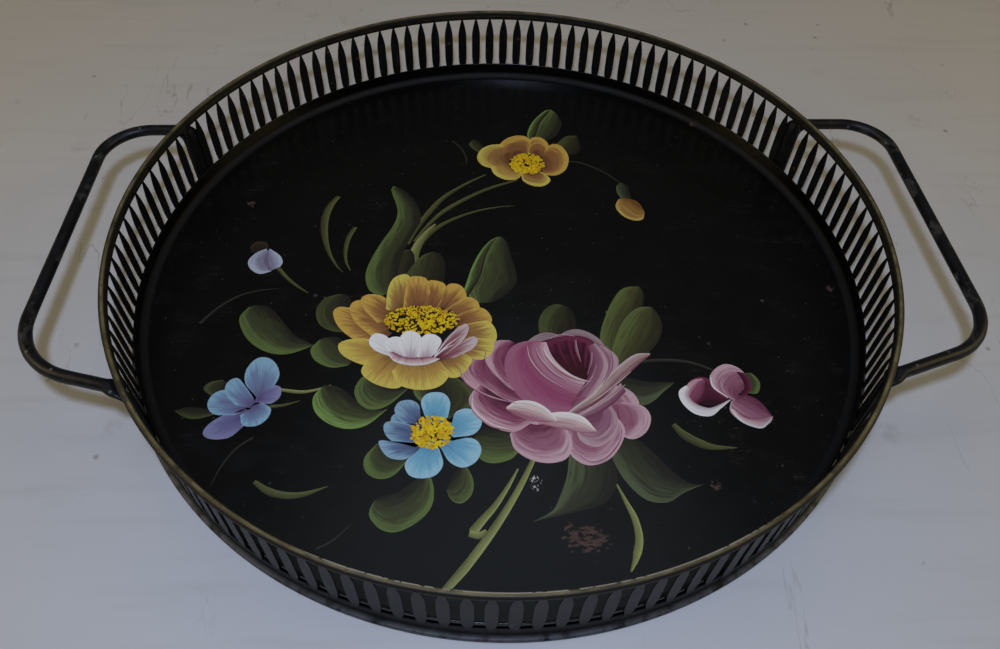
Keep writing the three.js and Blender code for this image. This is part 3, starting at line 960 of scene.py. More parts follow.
class Painting:
    """Strokes of paint that become one piece."""

    def __init__(self, name, height):
        self.name, self.level, self.count = name, floor_level + height * MM, 0
        self.corners, self.faces, self.marks = [], [], []

    def add(self, corner, paint, side, brush):
        self.corners.append(corner)
        self.marks.append((paint, side, brush))
        return len(self.corners) - 1

    def stroke(self, paint, outer, inner, pull=False, along=26, across=7):
        self.count += 1
        self.level += LAYER
        outer_line, inner_line = smooth_line(outer, along), smooth_line(inner, along)
        length = sum((q - p).length for p, q in zip(outer_line, outer_line[1:]))
        width = sum((q - p).length for p, q in zip(outer_line, inner_line)) / (along + 1)
        seed = self.count * BRISTLE_STEP

        def corner(i, j, level):
            place = outer_line[i].lerp(inner_line[i], j / across)
            run, reach = length * i / along, width * j / across
            brush = (run, reach * 2, seed) if pull else (reach, run, seed)
            return self.add(Vector((place.x * MM, place.y * MM, level)), paint, j / across, brush)

        grid = [[corner(i, j, self.level) for j in range(across + 1)] for i in range(along + 1)]
        for here, there in zip(grid, grid[1:]):
            self.faces += [(here[j], there[j], there[j + 1], here[j + 1]) for j in range(across)]
        border = [(i, 0) for i in range(along)] + [(along, j) for j in range(across)]
        border += [(i, across) for i in range(along, 0, -1)] + [(0, j) for j in range(across, 0, -1)]
        foot = [corner(i, j, floor_level - PAINT_ROOT) for i, j in border]
        for k, (i, j) in enumerate(border):
            following = border[(k + 1) % len(border)]
            self.faces.append((grid[i][j], foot[k], foot[(k + 1) % len(foot)],
                               grid[following[0]][following[1]]))
        self.faces.append(tuple(reversed(foot)))

    def stem(self, paint, points, widths, along=30):
        """A stroke of changing width along a line."""
        line = smooth_line(points, along)
        sides = [[], []]
        for i, at in enumerate(line):
            way = (line[min(i + 1, along)] - line[max(i - 1, 0)]).normalized()
            aside = Vector((-way.y, way.x))
            place = i / along * (len(widths) - 1)
            k = min(int(place), len(widths) - 2)
            half = mix(widths[k], widths[k + 1], place - k) / 2
            for keep, sign in zip(sides, (1, -1)):
                keep.append(at + aside * half * sign)
        self.stroke(paint, sides[0], sides[1], along=along, across=3)

    def dabs(self, paint, middle, reach, number, size, draw, ring=0.0):
        """Round touches of a small brush, scattered over an oval."""
        for n in range(number):
            self.count += 1
            turn, far = draw.uniform(0, 2 * math.pi), math.sqrt(draw.uniform(ring, 1))
            centre = Vector((middle[0] + reach[0] * far * math.cos(turn),
                             middle[1] + reach[1] * far * math.sin(turn)))
            radius = size * draw.uniform(0.6, 1.25)
            level = self.level + DAB_RISE / 4 * n / number
            spin, tone = draw.uniform(0, math.pi), draw.uniform(0.0, 0.75)
            rim, foot = [], []
            for k in range(DAB_SIDES):
                a = 2 * math.pi * k / DAB_SIDES + spin
                edge = radius * draw.uniform(0.8, 1.15)
                place = centre + Vector((math.cos(a), math.sin(a))) * edge
                for keep, z in ((rim, level), (foot, floor_level - PAINT_ROOT)):
                    keep.append(self.add(Vector((place.x * MM, place.y * MM, z)), paint, tone,
                                         (place.x, place.y, 0)))
            peak = Vector((centre.x * MM, centre.y * MM, level + radius * DAB_DOME * MM))
            peak = self.add(peak, paint, tone, (centre.x, centre.y, 0))
            for k in range(DAB_SIDES):
                j = (k + 1) % DAB_SIDES
                self.faces += [(rim[k], rim[j], peak), (rim[k], foot[k], foot[j], rim[j])]
            self.faces.append(tuple(reversed(foot)))
        self.level += DAB_RISE

    def finish(self):
        mesh = bpy.data.meshes.new(self.name)
        mesh.from_pydata([tuple(c) for c in self.corners], [], self.faces)
        colours = {paint: [linear(code) for code in codes] for paint, codes in PAINTS.items()}
        for k, name in enumerate(STROKE_COLOURS):
            layer = mesh.attributes.new(name, "FLOAT_COLOR", "POINT")
            layer.data.foreach_set("color", [v for paint, _, _ in self.marks for v in colours[paint][k]])
        side = mesh.attributes.new(STROKE_SIDE, "FLOAT", "POINT")
        side.data.foreach_set("value", [m[1] for m in self.marks])
        brush = mesh.attributes.new(STROKE_BRUSH, "FLOAT_VECTOR", "POINT")
        brush.data.foreach_set("vector", [v for m in self.marks for v in m[2]])
        work = bmesh.new()
        work.from_mesh(mesh)
        bmesh.ops.remove_doubles(work, verts=work.verts, dist=WELD)
        bmesh.ops.recalc_face_normals(work, faces=work.faces)
        work.to_mesh(mesh)
        work.free()
        mesh.materials.append(oil_paint.material)
        piece = bpy.data.objects.new(self.name, mesh)
        bpy.context.collection.objects.link(piece)
        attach(piece, "root")
        height = round((self.level - floor_level) / MM, 2)
        print(self.name, self.count, "touches,", len(mesh.polygons), "faces,", height, "mm high")
        return piece


STEM_HEIGHT, LEAF_HEIGHT, FLOWER_HEIGHT = 0.02, 0.05, 0.20     # mm above the lacquer

# %% [markdown]
# Leaves go on first. Most are one stroke, from near the base to the tip, and a few have a second
# one along an edge. All points are in millimetres from the middle of the tray.

# %% Leaves
LEAVES = (                  # paint, outer side, inner side
    ("dull leaf", [(-50, -4), (-62, -4), (-65, 5), (-62, 14), (-57, 20), (-51, 22)],
     [(-48, -4), (-48, 2), (-48, 8), (-48, 14), (-49, 19), (-51, 22)]),
    ("dull leaf", [(-56, -4), (-52, 4), (-49, 10), (-44, 17), (-38, 20)],
     [(-32, -4), (-31, 5), (-31.5, 12), (-34, 18), (-38, 20)]),
    ("leaf", [(-66, -13), (-72, -8), (-74.5, 2), (-73, 12), (-68, 26), (-61, 42), (-59.5, 54),
      (-64, 71), (-63, 75)],
     [(-56, -8), (-57, 6), (-54, 22), (-49, 36), (-45.5, 46), (-48, 58), (-54, 68), (-59, 73),
      (-63, 75)]),
    ("leaf", [(-16, -18), (-20, -8), (-17.5, 4), (-13, 17), (-7, 27), (-2, 31), (1, 31)],
     [(-6, -18), (1, -13), (7, -5), (8, 2), (6, 13), (4, 26), (1, 31)]),
    ("fresh leaf", [(-22, -12), (-19, -2), (-17, 6), (-13, 16), (-8, 25), (-2, 31)],
     [(-19, -14), (-14, -4), (-11, 4), (-9, 14), (-6, 23), (-2, 31)]),
    ("leaf", [(-11, -2), (-9, 4), (-8.5, 9)], [(-14, -6), (-10, 3), (-8.5, 9)]),
    ("olive leaf", [(50, -54), (49, -42), (54, -27), (60, -15), (66, -8.5), (74, -7.5)],
     [(60, -52), (64, -40), (71, -28), (75, -19), (76, -11), (74, -7.5)]),
    ("olive leaf", [(52, -60), (55, -48), (60, -36), (66, -27), (72, -22.5), (79, -22)],
     [(62, -60), (72, -53), (79, -45), (82.5, -36), (82, -28), (79, -22)]),
    ("grey leaf", [(55, -82), (65, -84), (71, -81.5), (77, -76), (83, -71)],
     [(56, -66), (64, -69), (71, -70.5), (77, -70.5), (83, -71)]),
    ("dull leaf", [(18, -42), (18, -31), (22, -23), (28, -19.5), (33, -21)],
     [(34, -42), (37.5, -34), (37, -27), (35, -22.5), (33, -21)]),
    ("grey leaf", [(45, -104), (48, -117), (53, -127), (60, -134), (69, -135), (77, -130.5),
      (87, -126.5)],
     [(54, -100), (61, -104), (67, -111), (72, -118), (77, -123.5), (82, -126.5), (87, -126.5)]),
    ("grey leaf", [(27, -110), (25, -121), (21, -131), (17, -138), (8, -143)],
     [(46, -110), (48, -121), (45, -130), (37, -136.5), (8, -143)]),
    ("leaf", [(-18, -106), (-13, -112.5), (-7, -114), (0, -112), (4, -108)],
     [(-16, -98), (-10, -95), (-4, -95), (1, -97), (5, -100)]),
    ("fresh leaf", [(-91, -71), (-94, -77), (-92, -85), (-85, -91.5), (-76, -94.5), (-67, -92.5),
      (-58, -84)],
     [(-89, -69.5), (-83, -70.5), (-78, -74), (-73, -79), (-68, -82), (-63, -84), (-58, -84)]),
    ("leaf", [(-65, -60), (-72, -66), (-74.5, -73), (-72, -80), (-66, -84), (-58, -82), (-48, -72)],
     [(-61, -60), (-61, -66), (-59, -70), (-56, -72), (-53, -72.5), (-51, -72), (-48, -72)]),
    ("leaf", [(-62, -103), (-67, -110), (-66, -117), (-60, -120.8), (-53, -119), (-46, -110)],
     [(-60, -102), (-57, -104), (-54, -106), (-51, -108), (-48, -109), (-46, -110)]),
    ("leaf", [(-38, -116), (-35, -126), (-36, -135), (-42, -142), (-51, -146.3), (-58, -144.5),
      (-63, -138), (-61, -131)],
     [(-41, -116), (-43, -121), (-46, -124), (-50, -127), (-54, -128.5), (-57, -129), (-59, -130),
      (-61, -131)]),
    ("leaf", [(-21, -114), (-17.5, -122), (-18, -129), (-22.5, -133.5), (-27, -132), (-29.5, -127)],
     [(-23, -114), (-25, -118), (-27, -121), (-28.5, -124), (-29.5, -127)]),
    ("leaf", [(-39, -82), (-44, -78), (-46, -73), (-44, -68)],
     [(-36, -82), (-36, -76), (-37, -71), (-40, -66)]),
    ("dull leaf", [(-28, -90), (-20, -85), (-15, -79), (-19, -71), (-27, -65)],
     [(-32, -88), (-34, -80), (-36, -74), (-36, -68), (-33, -64)]),
    ("leaf", [(-134, -19.5), (-137.5, -27), (-133, -38), (-126, -45.5), (-117, -50), (-108, -50),
      (-97, -45)],
     [(-131, -18), (-124, -19), (-118, -25), (-112, -33), (-107, -39), (-102, -42), (-97, -45)]),
    ("dull leaf", [(-88, -11), (-95, -14), (-98.5, -22), (-96, -31), (-89, -36), (-80, -37)],
     [(-84, -11), (-81, -15), (-79, -21), (-78, -27), (-78, -32), (-80, -37)]),
    ("leaf", [(-95, -42), (-98.5, -48), (-95, -55), (-87, -59), (-79, -58)],
     [(-92, -40), (-86, -40), (-81, -44), (-78, -50), (-77, -56)]),
    ("dull leaf", [(-139, -65.5), (-145, -67), (-147, -71), (-141, -76)],
     [(-137, -67), (-136, -70), (-136, -73), (-138, -76)]),
    ("dull leaf", [(-158.5, -83), (-152, -87), (-146, -87.5), (-138, -85)],
     [(-158.5, -83), (-153, -81), (-147, -81.5), (-138, -83)]),
    ("leaf", [(24, 118), (26, 130), (31, 141), (37, 150), (42, 144)],
     [(30, 116), (38, 121), (42, 128), (44, 136), (42, 144)]),
    ("fresh leaf", [(21, 119), (21, 126), (25, 137), (33, 148), (38, 150.5)],
     [(25, 118), (27, 126), (30, 136), (35, 145), (38, 150.5)]),
    ("dull leaf", [(36, 110), (41, 117), (46, 122), (53, 122.5)],
     [(42, 105), (49, 103), (54, 110), (53, 122.5)]),
    ("dull leaf", [(-8, 104), (-13, 108), (-17, 114), (-14, 119)],
     [(-7, 106), (-7.5, 111), (-10, 116), (-14, 119)]),
    ("grey leaf", [(74, 62), (72, 68), (72.5, 74), (76, 77)],
     [(80, 63), (79.5, 69), (79, 74), (76, 77)]),
    ("leaf", [(118, -78), (123, -78), (125.5, -72), (123, -66.5), (119, -66)],
     [(117, -77), (117, -75), (117, -72), (117, -69), (119, -66)]),
)
leaves = Painting("painted_leaves", LEAF_HEIGHT)
for paint, outer, inner in LEAVES:
    # The one short mark, of three points, needs fewer steps.
    along, across = (10, 2) if len(outer) == 3 else (26, 7)
    leaves.stroke(paint, outer, inner, along=along, across=across)
leaves.finish()

# %% [markdown]
# Stems and blades of grass are long strokes made with the edge of the brush. They start thin, swell
# as the brush is pressed, and end in a point.

# %% Stems
STEMS = (                   # paint, line, widths along it
    ("dull stem", [(-52, 26), (-48, 38), (-42, 50), (-33, 64), (-20, 76), (-7, 85)],
     (1.4, 3.2, 3.4, 2.8, 1.8, 0.9)),
    ("dull stem", [(-49, 28), (-42, 40), (-33, 52), (-20, 63), (-6, 72), (12, 80)],
     (1.2, 2.2, 2.8, 2.4, 2.2, 1.2)),
    ("dull stem", [(-48, 14), (-45, 27), (-36, 39), (-25, 47), (-12, 53), (0, 56), (9, 57)],
     (3.0, 3.6, 2.8, 2.0, 1.5, 1.0, 0.4)),
    ("stem", [(-47.5, 10), (-48.5, 18), (-46, 27), (-41.5, 36), (-37, 42)], (3.6, 5.4, 4.6, 3.0, 1.2)),
    ("dull stem", [(-95, 66), (-99, 58), (-101, 46), (-99.5, 32), (-96, 20), (-91, 10), (-87, 5)],
     (2.6, 4.2, 4.4, 3.8, 2.6, 1.4, 0.4)),
    ("dull stem", [(-83, 40), (-86, 32), (-87, 22), (-86, 13), (-83, 6)], (2.4, 2.9, 2.3, 1.6, 0.5)),
    ("faint stem", [(44, 97), (52, 96), (62, 90), (70, 83), (76, 75)], (1.0, 1.1, 1.0, 0.9, 0.8)),
    ("faint stem", [(-28, 118), (-22, 110), (-19, 101), (-19, 94)], (0.6, 1.1, 1.0, 0.5)),
    ("stem", [(10, -113), (4, -125), (-3, -137), (-11, -149), (-20, -161), (-26, -168),
      (-30.5, -173)], (2.2, 2.8, 3.2, 3.6, 3.9, 4.0, 3.2)),
    ("stem", [(3, -117), (-2, -126), (-8, -135), (-14, -142), (-18, -147)], (0.8, 1.8, 2.6, 3.4, 4.2)),
    ("stem", [(-19.5, -147.5), (-15.5, -148.6), (-12, -146.5)], (3.0, 3.2, 1.6)),
    ("dull stem", [(78, -95), (82, -100.5), (88, -105), (95, -107.7), (106, -108.3)],
     (2.4, 4.4, 4.4, 2.4, 0.4)),
    ("stem", [(46, -123), (50, -134), (53, -143), (53.5, -152), (51, -160), (48, -166)],
     (0.5, 1.5, 2.8, 3.4, 3.6, 0.8)),
    ("stem", [(-112, -71.5), (-101, -73.3), (-94, -72.5), (-86, -69.5)], (1.6, 2.0, 1.5, 0.5)),
    ("dull stem", [(-114, -81.5), (-107, -80.7), (-100, -78.3)], (1.9, 1.4, 0.4)),
    ("dull stem", [(-123, 9), (-117, 1.5), (-111, -4.5), (-104, -10)], (2.4, 2.0, 1.5, 0.5)),
    ("faint stem", [(-157, -30), (-150, -20), (-141, -12), (-131, -8), (-120, -6.5)],
     (1.6, 1.3, 1.2, 0.9, 0.3)),
    ("faint stem", [(-119, -98), (-126, -104), (-131, -113), (-134, -123)], (0.9, 0.9, 0.6, 0.2)),
    ("faint stem", [(-84, -153), (-77, -149), (-70, -142)], (0.8, 0.8, 0.3)),
    ("dull stem", [(-115, -121), (-108, -125.8), (-100, -128), (-92, -127.5), (-82, -124)],
     (2.0, 3.6, 3.4, 2.2, 0.4)),
    ("faint stem", [(68, -58), (79, -57.3), (90, -58.3), (98, -61), (107, -66)],
     (1.8, 1.8, 1.8, 1.3, 0.8)),
)
stems = Painting("painted_stems", STEM_HEIGHT)
for paint, line, widths in STEMS:
    stems.stem(paint, line, widths)
stems.finish()

# %% [markdown]
# The big yellow flower is built from the back: long petals pulled outwards round a stippled
# middle, then the bright lower petals, and last a fan of small white petals in front.

# %% Big yellow flower
draw = random.Random(7)
big_flower = Painting("yellow_flower", FLOWER_HEIGHT)
for paint, outer, inner in (
    ("orange", [(-66, -46), (-78, -41), (-86, -33), (-89.5, -24), (-87, -20), (-81, -20.5)],
     [(-58, -38), (-60, -36), (-61, -34), (-62, -31)]),
    ("orange", [(-68, -40), (-77, -31), (-81, -22), (-79.5, -16.5), (-74, -15.5), (-68, -20)],
     [(-58, -34), (-59, -31), (-59, -28)]),
    ("orange", [(-66, -31), (-74, -21), (-75.5, -14), (-71, -11.3), (-64, -13), (-59, -19)],
     [(-57, -30), (-57, -26), (-56, -23)]),
    ("orange", [(-44, -22), (-41, -10), (-40.5, -2.5), (-36, -2), (-31, -5), (-30, -14)],
     [(-42, -24), (-39, -24), (-36, -24)]),
    ("yellow", [(-62, -22), (-62, -10), (-60, -1.5), (-56, 2.3), (-51, 2), (-49, -8)],
     [(-56, -24), (-53, -24), (-50, -23)]),
    ("orange", [(-53, -21), (-52.5, -9), (-51, 0), (-46, 1.3), (-41, -1), (-39, -10)],
     [(-49, -24), (-46, -24), (-43, -24)]),
    ("orange", [(-36, -22), (-31.5, -12), (-30, -5.5), (-26, -4.2), (-21.5, -7), (-19.5, -15),
      (-24, -21)], [(-37, -25), (-34, -25), (-31, -25)]),
    ("orange", [(-31, -23), (-23, -16), (-18, -14), (-13.5, -17.5), (-13, -23), (-17, -28)],
     [(-33, -26), (-31, -28), (-29, -30)]),
    ("orange", [(-27, -28), (-18, -23), (-12, -21.5), (-8, -25), (-6.5, -31), (-11, -36)],
     [(-29, -30), (-28, -32), (-26, -34)]),
    ("yellow", [(-24, -34), (-14, -31), (-8, -31), (-4.5, -37), (-5, -44), (-11, -47)],
     [(-26, -36), (-26, -38), (-25, -41)]),
    ("yellow", [(-24, -42), (-13, -42), (-6.5, -43), (-6.5, -50), (-12, -55.5), (-20, -54)],
     [(-28, -42), (-28, -45), (-28, -48)]),
    ("deep yellow", [(-60, -44), (-74, -41), (-84, -43.5), (-84, -49), (-79, -54), (-70, -58),
      (-62, -57)], [(-58, -46), (-57, -48), (-56, -50), (-56, -52)]),
    ("deep yellow", [(-70, -55), (-72, -62), (-67.5, -67.5), (-60, -71.3), (-53, -71.8), (-48, -66)],
     [(-60, -52), (-58, -53), (-54, -54), (-50, -54)]),
    ("yellow", [(-36, -60), (-30, -65.5), (-24, -66), (-19.5, -61), (-17, -55), (-23, -51)],
     [(-36, -52), (-33, -51), (-29, -50)]),
    ("deep yellow", [(-57, -62), (-53.5, -69.5), (-46, -72.8), (-38, -73), (-32, -70.3), (-28.5, -64),
      (-32, -58)], [(-52, -54), (-48, -54), (-42, -54), (-38, -54), (-35, -54)]),
):
    big_flower.stroke(paint, outer, inner, pull=True)
for paint, number, size, ring in (("brown", 90, 0.95, 0.0), ("egg yellow", 360, 0.75, 0.0),
                                  ("brown", 40, 0.5, 0.35),
                                  ("egg yellow", 110, 0.55, 0.2)):
    big_flower.dabs(paint, (-43, -29.5), (19.5, 9.5), number, size, draw, ring)
for paint, outer, inner in (
    ("rosy white", [(-34, -54), (-25, -47), (-17, -41), (-14, -43.5), (-17, -49), (-26, -54)],
     [(-38, -55), (-36, -55.5), (-34, -56)]),
    ("rosy white", [(-36, -52), (-30, -42), (-24, -35), (-20, -32.5), (-18.5, -36), (-22, -44),
      (-30, -52)], [(-39, -54), (-37, -54), (-34, -55)]),
    ("white", [(-58, -53), (-66, -49), (-69.5, -43.5), (-67, -38.5), (-61.5, -39.5), (-57, -45)],
     [(-55, -54), (-55, -52), (-54, -50)]),
    ("white", [(-55, -54), (-61, -47), (-60, -42), (-55, -40.5), (-50.5, -44), (-49, -51)],
     [(-53, -55), (-51, -55), (-49, -54)]),
    ("white", [(-45, -53), (-44.5, -45), (-41, -39.5), (-36, -39.5), (-32.5, -44), (-36, -52)],
     [(-43, -55), (-41, -55), (-39, -55)]),
    ("white", [(-51, -54), (-54.5, -46), (-52.5, -38.5), (-47.5, -37), (-43, -41), (-43.5, -51)],
     [(-50, -55), (-48, -56), (-46, -55)]),
    ("blush", [(-60, -50), (-56, -56), (-48, -58.6), (-40, -58.2), (-33, -55)],
     [(-57, -50), (-52, -53), (-46, -54), (-38, -53.5)]),
):
    big_flower.stroke(paint, outer, inner, pull=True)
for spot in ((-28, -41), (-26, -46), (-33, -46), (-22, -40)):
    big_flower.stem("white", [(-36, -54), ((spot[0] - 36) / 2, (spot[1] - 54) / 2 + 1), spot],
                    (0.5, 0.7, 0.2), along=12)
big_flower.finish()

# %% [markdown]
# The small yellow flower stands behind the others. Six broad petals, with lemon paint along their
# outer edges, close round a stippled yellow middle.

# %% Small yellow flower
small_flower = Painting("small_yellow_flower", FLOWER_HEIGHT)
for paint, outer, inner in (
    ("orange", [(20, 104), (19.5, 113), (23, 120), (28.5, 121), (33, 116), (33.5, 109), (30, 103)],
     [(23, 102), (25, 102), (28, 101)]),
    ("orange", [(30, 103), (32, 110), (37, 114.3), (42.5, 111), (45.5, 101), (43, 90), (37, 84.2),
      (30, 84)], [(28, 99), (29, 97), (29, 93), (27, 90)]),
    ("orange", [(2, 100), (1, 109), (5, 117.5), (12, 122.3), (19, 122), (22, 117), (21, 107)],
     [(9, 98), (12, 102), (16, 104), (18, 104)]),
    ("yellow", [(4, 114), (-4, 113), (-10, 108), (-12, 100), (-8, 93), (1, 90)],
     [(9, 104), (8, 101), (8, 98), (8, 95)]),
    ("deep yellow", [(-4, 92), (-1.5, 85), (5, 80.3), (12, 80.8), (16, 86)],
     [(7, 94), (8, 92), (10, 90), (13, 89)]),
    ("yellow", [(15, 87), (15.5, 79.5), (21, 74.6), (28, 74.4), (32.5, 80), (28, 87)],
     [(18, 89), (20, 88), (24, 88)]),
):
    small_flower.stroke(paint, outer, inner)
for paint, number, size in (("brown", 16, 0.9), ("egg yellow", 280, 0.95), ("brown", 10, 0.4),
                            ("egg yellow", 40, 0.6)):
    small_flower.dabs(paint, (19, 95), (10.5, 9.5), number, size, draw)
small_flower.finish()

# %% [markdown]
# The rose is a bowl of curved strokes round a dark heart. Pale petals stand at the back, the bowl's
# sides sweep down and meet in front, and loose petals fall open round it. Pale paint on the brush's
# light side draws the edge of each one.

# %% Rose
rose = Painting("rose", FLOWER_HEIGHT)
ROSE_STROKES = (
    ("rose", [(-4, -66), (0, -82), (8, -98), (18, -108)],
     [(50, -62), (56, -78), (56, -92), (46, -106)]),
    ("rose", [(46, -76), (54, -72.5), (61, -76.5), (63.5, -84), (59, -91), (49, -94)],
     [(38, -80), (40, -84), (42, -88), (43, -91)]),
    ("rose", [(56, -82), (65, -84.5), (68, -91), (64.5, -99), (57, -102.8), (49, -98)],
     [(48, -84), (47, -87), (47, -91), (46, -94)]),
    ("rose", [(28, -100), (27.5, -110), (35, -116), (45, -113.3), (52, -105), (54.5, -96), (48, -86)],
     [(32, -94), (35, -96), (38, -96), (41, -94), (43, -88)]),
    ("dusty rose", [(31, -93), (33, -103), (41, -106.5), (49.5, -100), (52, -91), (49, -82)],
     [(34, -88), (36, -90), (39, -90), (42, -87), (42, -82)]),
    ("rose", [(0, -99), (2, -107), (9, -112.6), (18, -114.5), (26, -112), (29, -104), (26, -93)],
     [(4, -92), (9, -93), (13, -94), (18, -93), (21, -91)]),
    ("deep rose", [(-9, -50), (-19, -53), (-24.5, -61), (-19, -71), (-8, -79), (6, -82.5)],
     [(-4, -48), (-3, -56), (0, -64), (4, -72), (9, -79)]),
    ("deep rose", [(-14, -70), (-19, -79), (-16, -87), (-8, -94.5), (2, -97.8), (12, -92)],
     [(-10, -73), (-4, -78), (2, -81), (6, -83), (12, -86)]),
    ("deep rose", [(2, -43.5), (-5, -44), (-11, -51), (-9, -61), (-2, -70), (6, -77)],
     [(5, -45), (4, -52), (4, -60), (7, -68), (10, -76)]),
    ("pale rose", [(10, -53), (10.5, -46), (15.5, -40.8), (22, -38.8), (28, -41), (31, -48)],
     [(16, -58), (19, -56), (22, -55), (26, -56)]),
    ("pale rose", [(26, -48), (28.5, -40.5), (36, -36.8), (43.5, -39), (49.5, -45), (51, -53)],
     [(28, -58), (32, -54), (37, -53), (42, -55)]),
    ("heart", [(13, -48), (20, -44), (32, -41), (43, -43), (49, -52)],
     [(20, -72), (26, -78), (34, -80), (42, -74), (46, -62)]),
    ("dark rose", [(20, -46), (27, -42.5), (36, -41.5), (44, -45), (48, -54)],
     [(24, -56), (30, -53), (36, -53), (42, -57), (44, -63)]),
    ("rose bowl", [(18, -44), (9, -44.5), (2, -49), (-1, -59), (1, -70), (7, -80), (16, -86),
      (30, -88)], [(20, -46), (20.5, -50), (23, -56), (28, -64), (36, -71), (42, -75), (46, -76)]),
    ("dusty rose", [(50, -48), (56.5, -55), (55, -64), (49.5, -73), (42, -81), (31, -87.5)],
     [(43, -47), (45, -56), (42, -66), (37, -73), (34, -78), (30, -83)]),
    ("bowl rim", [(21, -45), (23, -53), (27, -60), (33, -66), (41, -69.5), (46, -68)],
     [(12, -45), (9, -50), (9, -57), (14, -67), (23, -76), (33, -80), (40, -79)]),
    ("dusty rose", [(40, -79), (47, -70), (51, -61), (50, -53), (46, -46)],
     [(33, -79), (38, -71), (42, -63), (43, -56), (42, -48)]),
    ("faded rose", [(73.5, -53), (66, -53.4), (58, -59), (50, -67), (41, -77), (27, -88.5)],
     [(73, -54.5), (67, -59.5), (60, -66.5), (52, -74), (43, -82), (29, -89.5)]),
    ("dusty rose", [(56, -71), (50, -77), (42, -83), (32, -89.5)],
     [(58, -76), (52, -82), (44, -88), (34, -92)]),
    ("curl", [(12, -92.5), (19, -88), (28, -87.3), (36, -90.5), (41, -98)],
     [(14, -93.5), (21, -95.5), (28, -97.5), (35, -99), (41, -98.5)]),
    ("curl", [(-1, -84), (4, -80.6), (12, -80.8), (18.5, -85), (23, -92)],
     [(-1, -85.5), (5, -89.5), (11, -92.2), (17, -93), (22, -92.5)]),
)
for paint, outer, inner in ROSE_STROKES:
    rose.stroke(paint, outer, inner, across=10)
for paint, points, widths in (
    ("light rose", [(-23.6, -60), (-20, -70), (-9, -77.7), (4, -82)], (0.3, 0.9, 1.1, 0.4)),
    ("blush", [(-17.5, -76), (-17, -85), (-9, -93.5), (1, -97)], (0.5, 1.6, 2.0, 0.7)),
    ("light rose", [(30, -108), (36, -114), (44, -112), (51, -104), (53, -97)],
     (0.4, 0.9, 1.1, 1.0, 0.4)),
    ("light rose", [(-10, -50), (-10.3, -57), (-5, -66), (3, -74)], (0.3, 0.9, 0.9, 0.3)),
    ("light rose", [(11, -47), (12, -56), (18, -66), (27, -73)], (0.3, 1.3, 1.4, 0.3)),
    ("light rose", [(15, -47), (17, -55), (23, -64), (31, -70.5)], (0.3, 1.1, 1.4, 0.4)),
    ("blush", [(19, -48), (20.5, -54), (26, -62), (34, -68), (41, -70)], (0.4, 1.6, 2.4, 2.0, 0.5)),
    ("light rose", [(47, -45), (53.5, -52), (53, -62), (47, -72)], (0.4, 0.8, 0.8, 0.3)),
    ("light rose", [(45, -60), (42, -67), (36, -75)], (0.3, 0.9, 0.3)),
    ("faded rose", [(62, -64), (54, -71), (44, -79), (34, -85)], (0.5, 1.1, 1.1, 0.4)),
    ("faded rose", [(58, -72), (50, -79), (40, -86)], (0.4, 1.0, 0.4)),
    ("dark rose", [(26, -46), (27.5, -52), (31, -60)], (2.6, 2.4, 0.6)),
    ("dark rose", [(31.5, -44.5), (32.5, -51), (35, -61)], (2.8, 2.2, 0.5)),
    ("rose", [(36, -44), (36, -50), (37.5, -58)], (1.0, 1.6, 0.3)),
    ("dark rose", [(41, -46), (40, -53), (39, -62)], (3.0, 2.6, 0.5)),
    ("rose", [(43.5, -52), (42.5, -58), (40, -66)], (1.0, 1.4, 0.3)),
    ("light rose", [(23, -43), (29, -40.5), (36, -41.5)], (0.3, 0.9, 0.3)),
):
    rose.stem(paint, points, widths)
rose.finish()

# %% [markdown]
# The blue flower has eight round petals, pulled towards the middle: four in sky blue, four on the
# left in a darker, greyer blue, and a stippled yellow eye.

# %% Blue flower
blue_flower = Painting("blue_flower", FLOWER_HEIGHT)
for paint, outer, inner in (
    ("blue shade", [(-46, -90), (-52, -86.5), (-55.5, -88), (-55.5, -93), (-51, -97.5), (-45, -97)],
     [(-42, -92), (-42, -94), (-41, -96)]),
    ("blue shade", [(-44, -94), (-52, -91), (-58.5, -91.5), (-58.5, -97), (-54, -102), (-46, -103)],
     [(-41, -96), (-41, -98), (-41, -101)]),
    ("blue shade", [(-42, -88), (-43, -82), (-47, -79), (-52.5, -80), (-54.5, -85), (-51, -91),
      (-45, -92.5)], [(-40, -92), (-41, -93), (-42, -95)]),
    ("blue shade", [(-44, -105), (-52, -102.6), (-60.5, -101), (-60, -105), (-56, -110),
      (-49, -111.3), (-43.5, -108)], [(-40, -102), (-41, -104), (-40, -105)]),
    ("blue", [(-40, -88), (-42, -80), (-38.5, -75.2), (-31.5, -75.3), (-28, -80.5), (-29, -89)],
     [(-38, -92), (-35, -92), (-33, -92)]),
    ("blue", [(-27, -92), (-25.5, -86.5), (-20, -84.3), (-14.5, -87), (-13, -93), (-17, -98.6),
      (-26, -100)], [(-31, -94), (-31, -96), (-30, -98)]),
    ("blue", [(-27, -102), (-20, -100.5), (-15.5, -102), (-13.4, -107), (-16, -113), (-22, -116),
      (-28, -113), (-32, -106)], [(-31, -100), (-32, -102), (-34, -103)]),
    ("blue", [(-43, -107), (-48.3, -113), (-46.5, -119), (-41, -121), (-34.5, -119.6), (-31, -114),
      (-33, -106)], [(-39, -102), (-37, -102), (-35, -102)]),
):
    blue_flower.stroke(paint, outer, inner, pull=True)
for paint, number, size in (("brown", 16, 0.8), ("egg yellow", 240, 0.95), ("brown", 12, 0.4),
                            ("egg yellow", 50, 0.6)):
    blue_flower.dabs(paint, (-36.5, -97), (9.8, 8.6), number, size, draw)
blue_flower.finish()

# %% [markdown]
# On the left a pale lilac flower and its bud hang from short stems; on the right are three pink
# buds that have just opened, and above them a small orange one. Each is a handful of strokes.

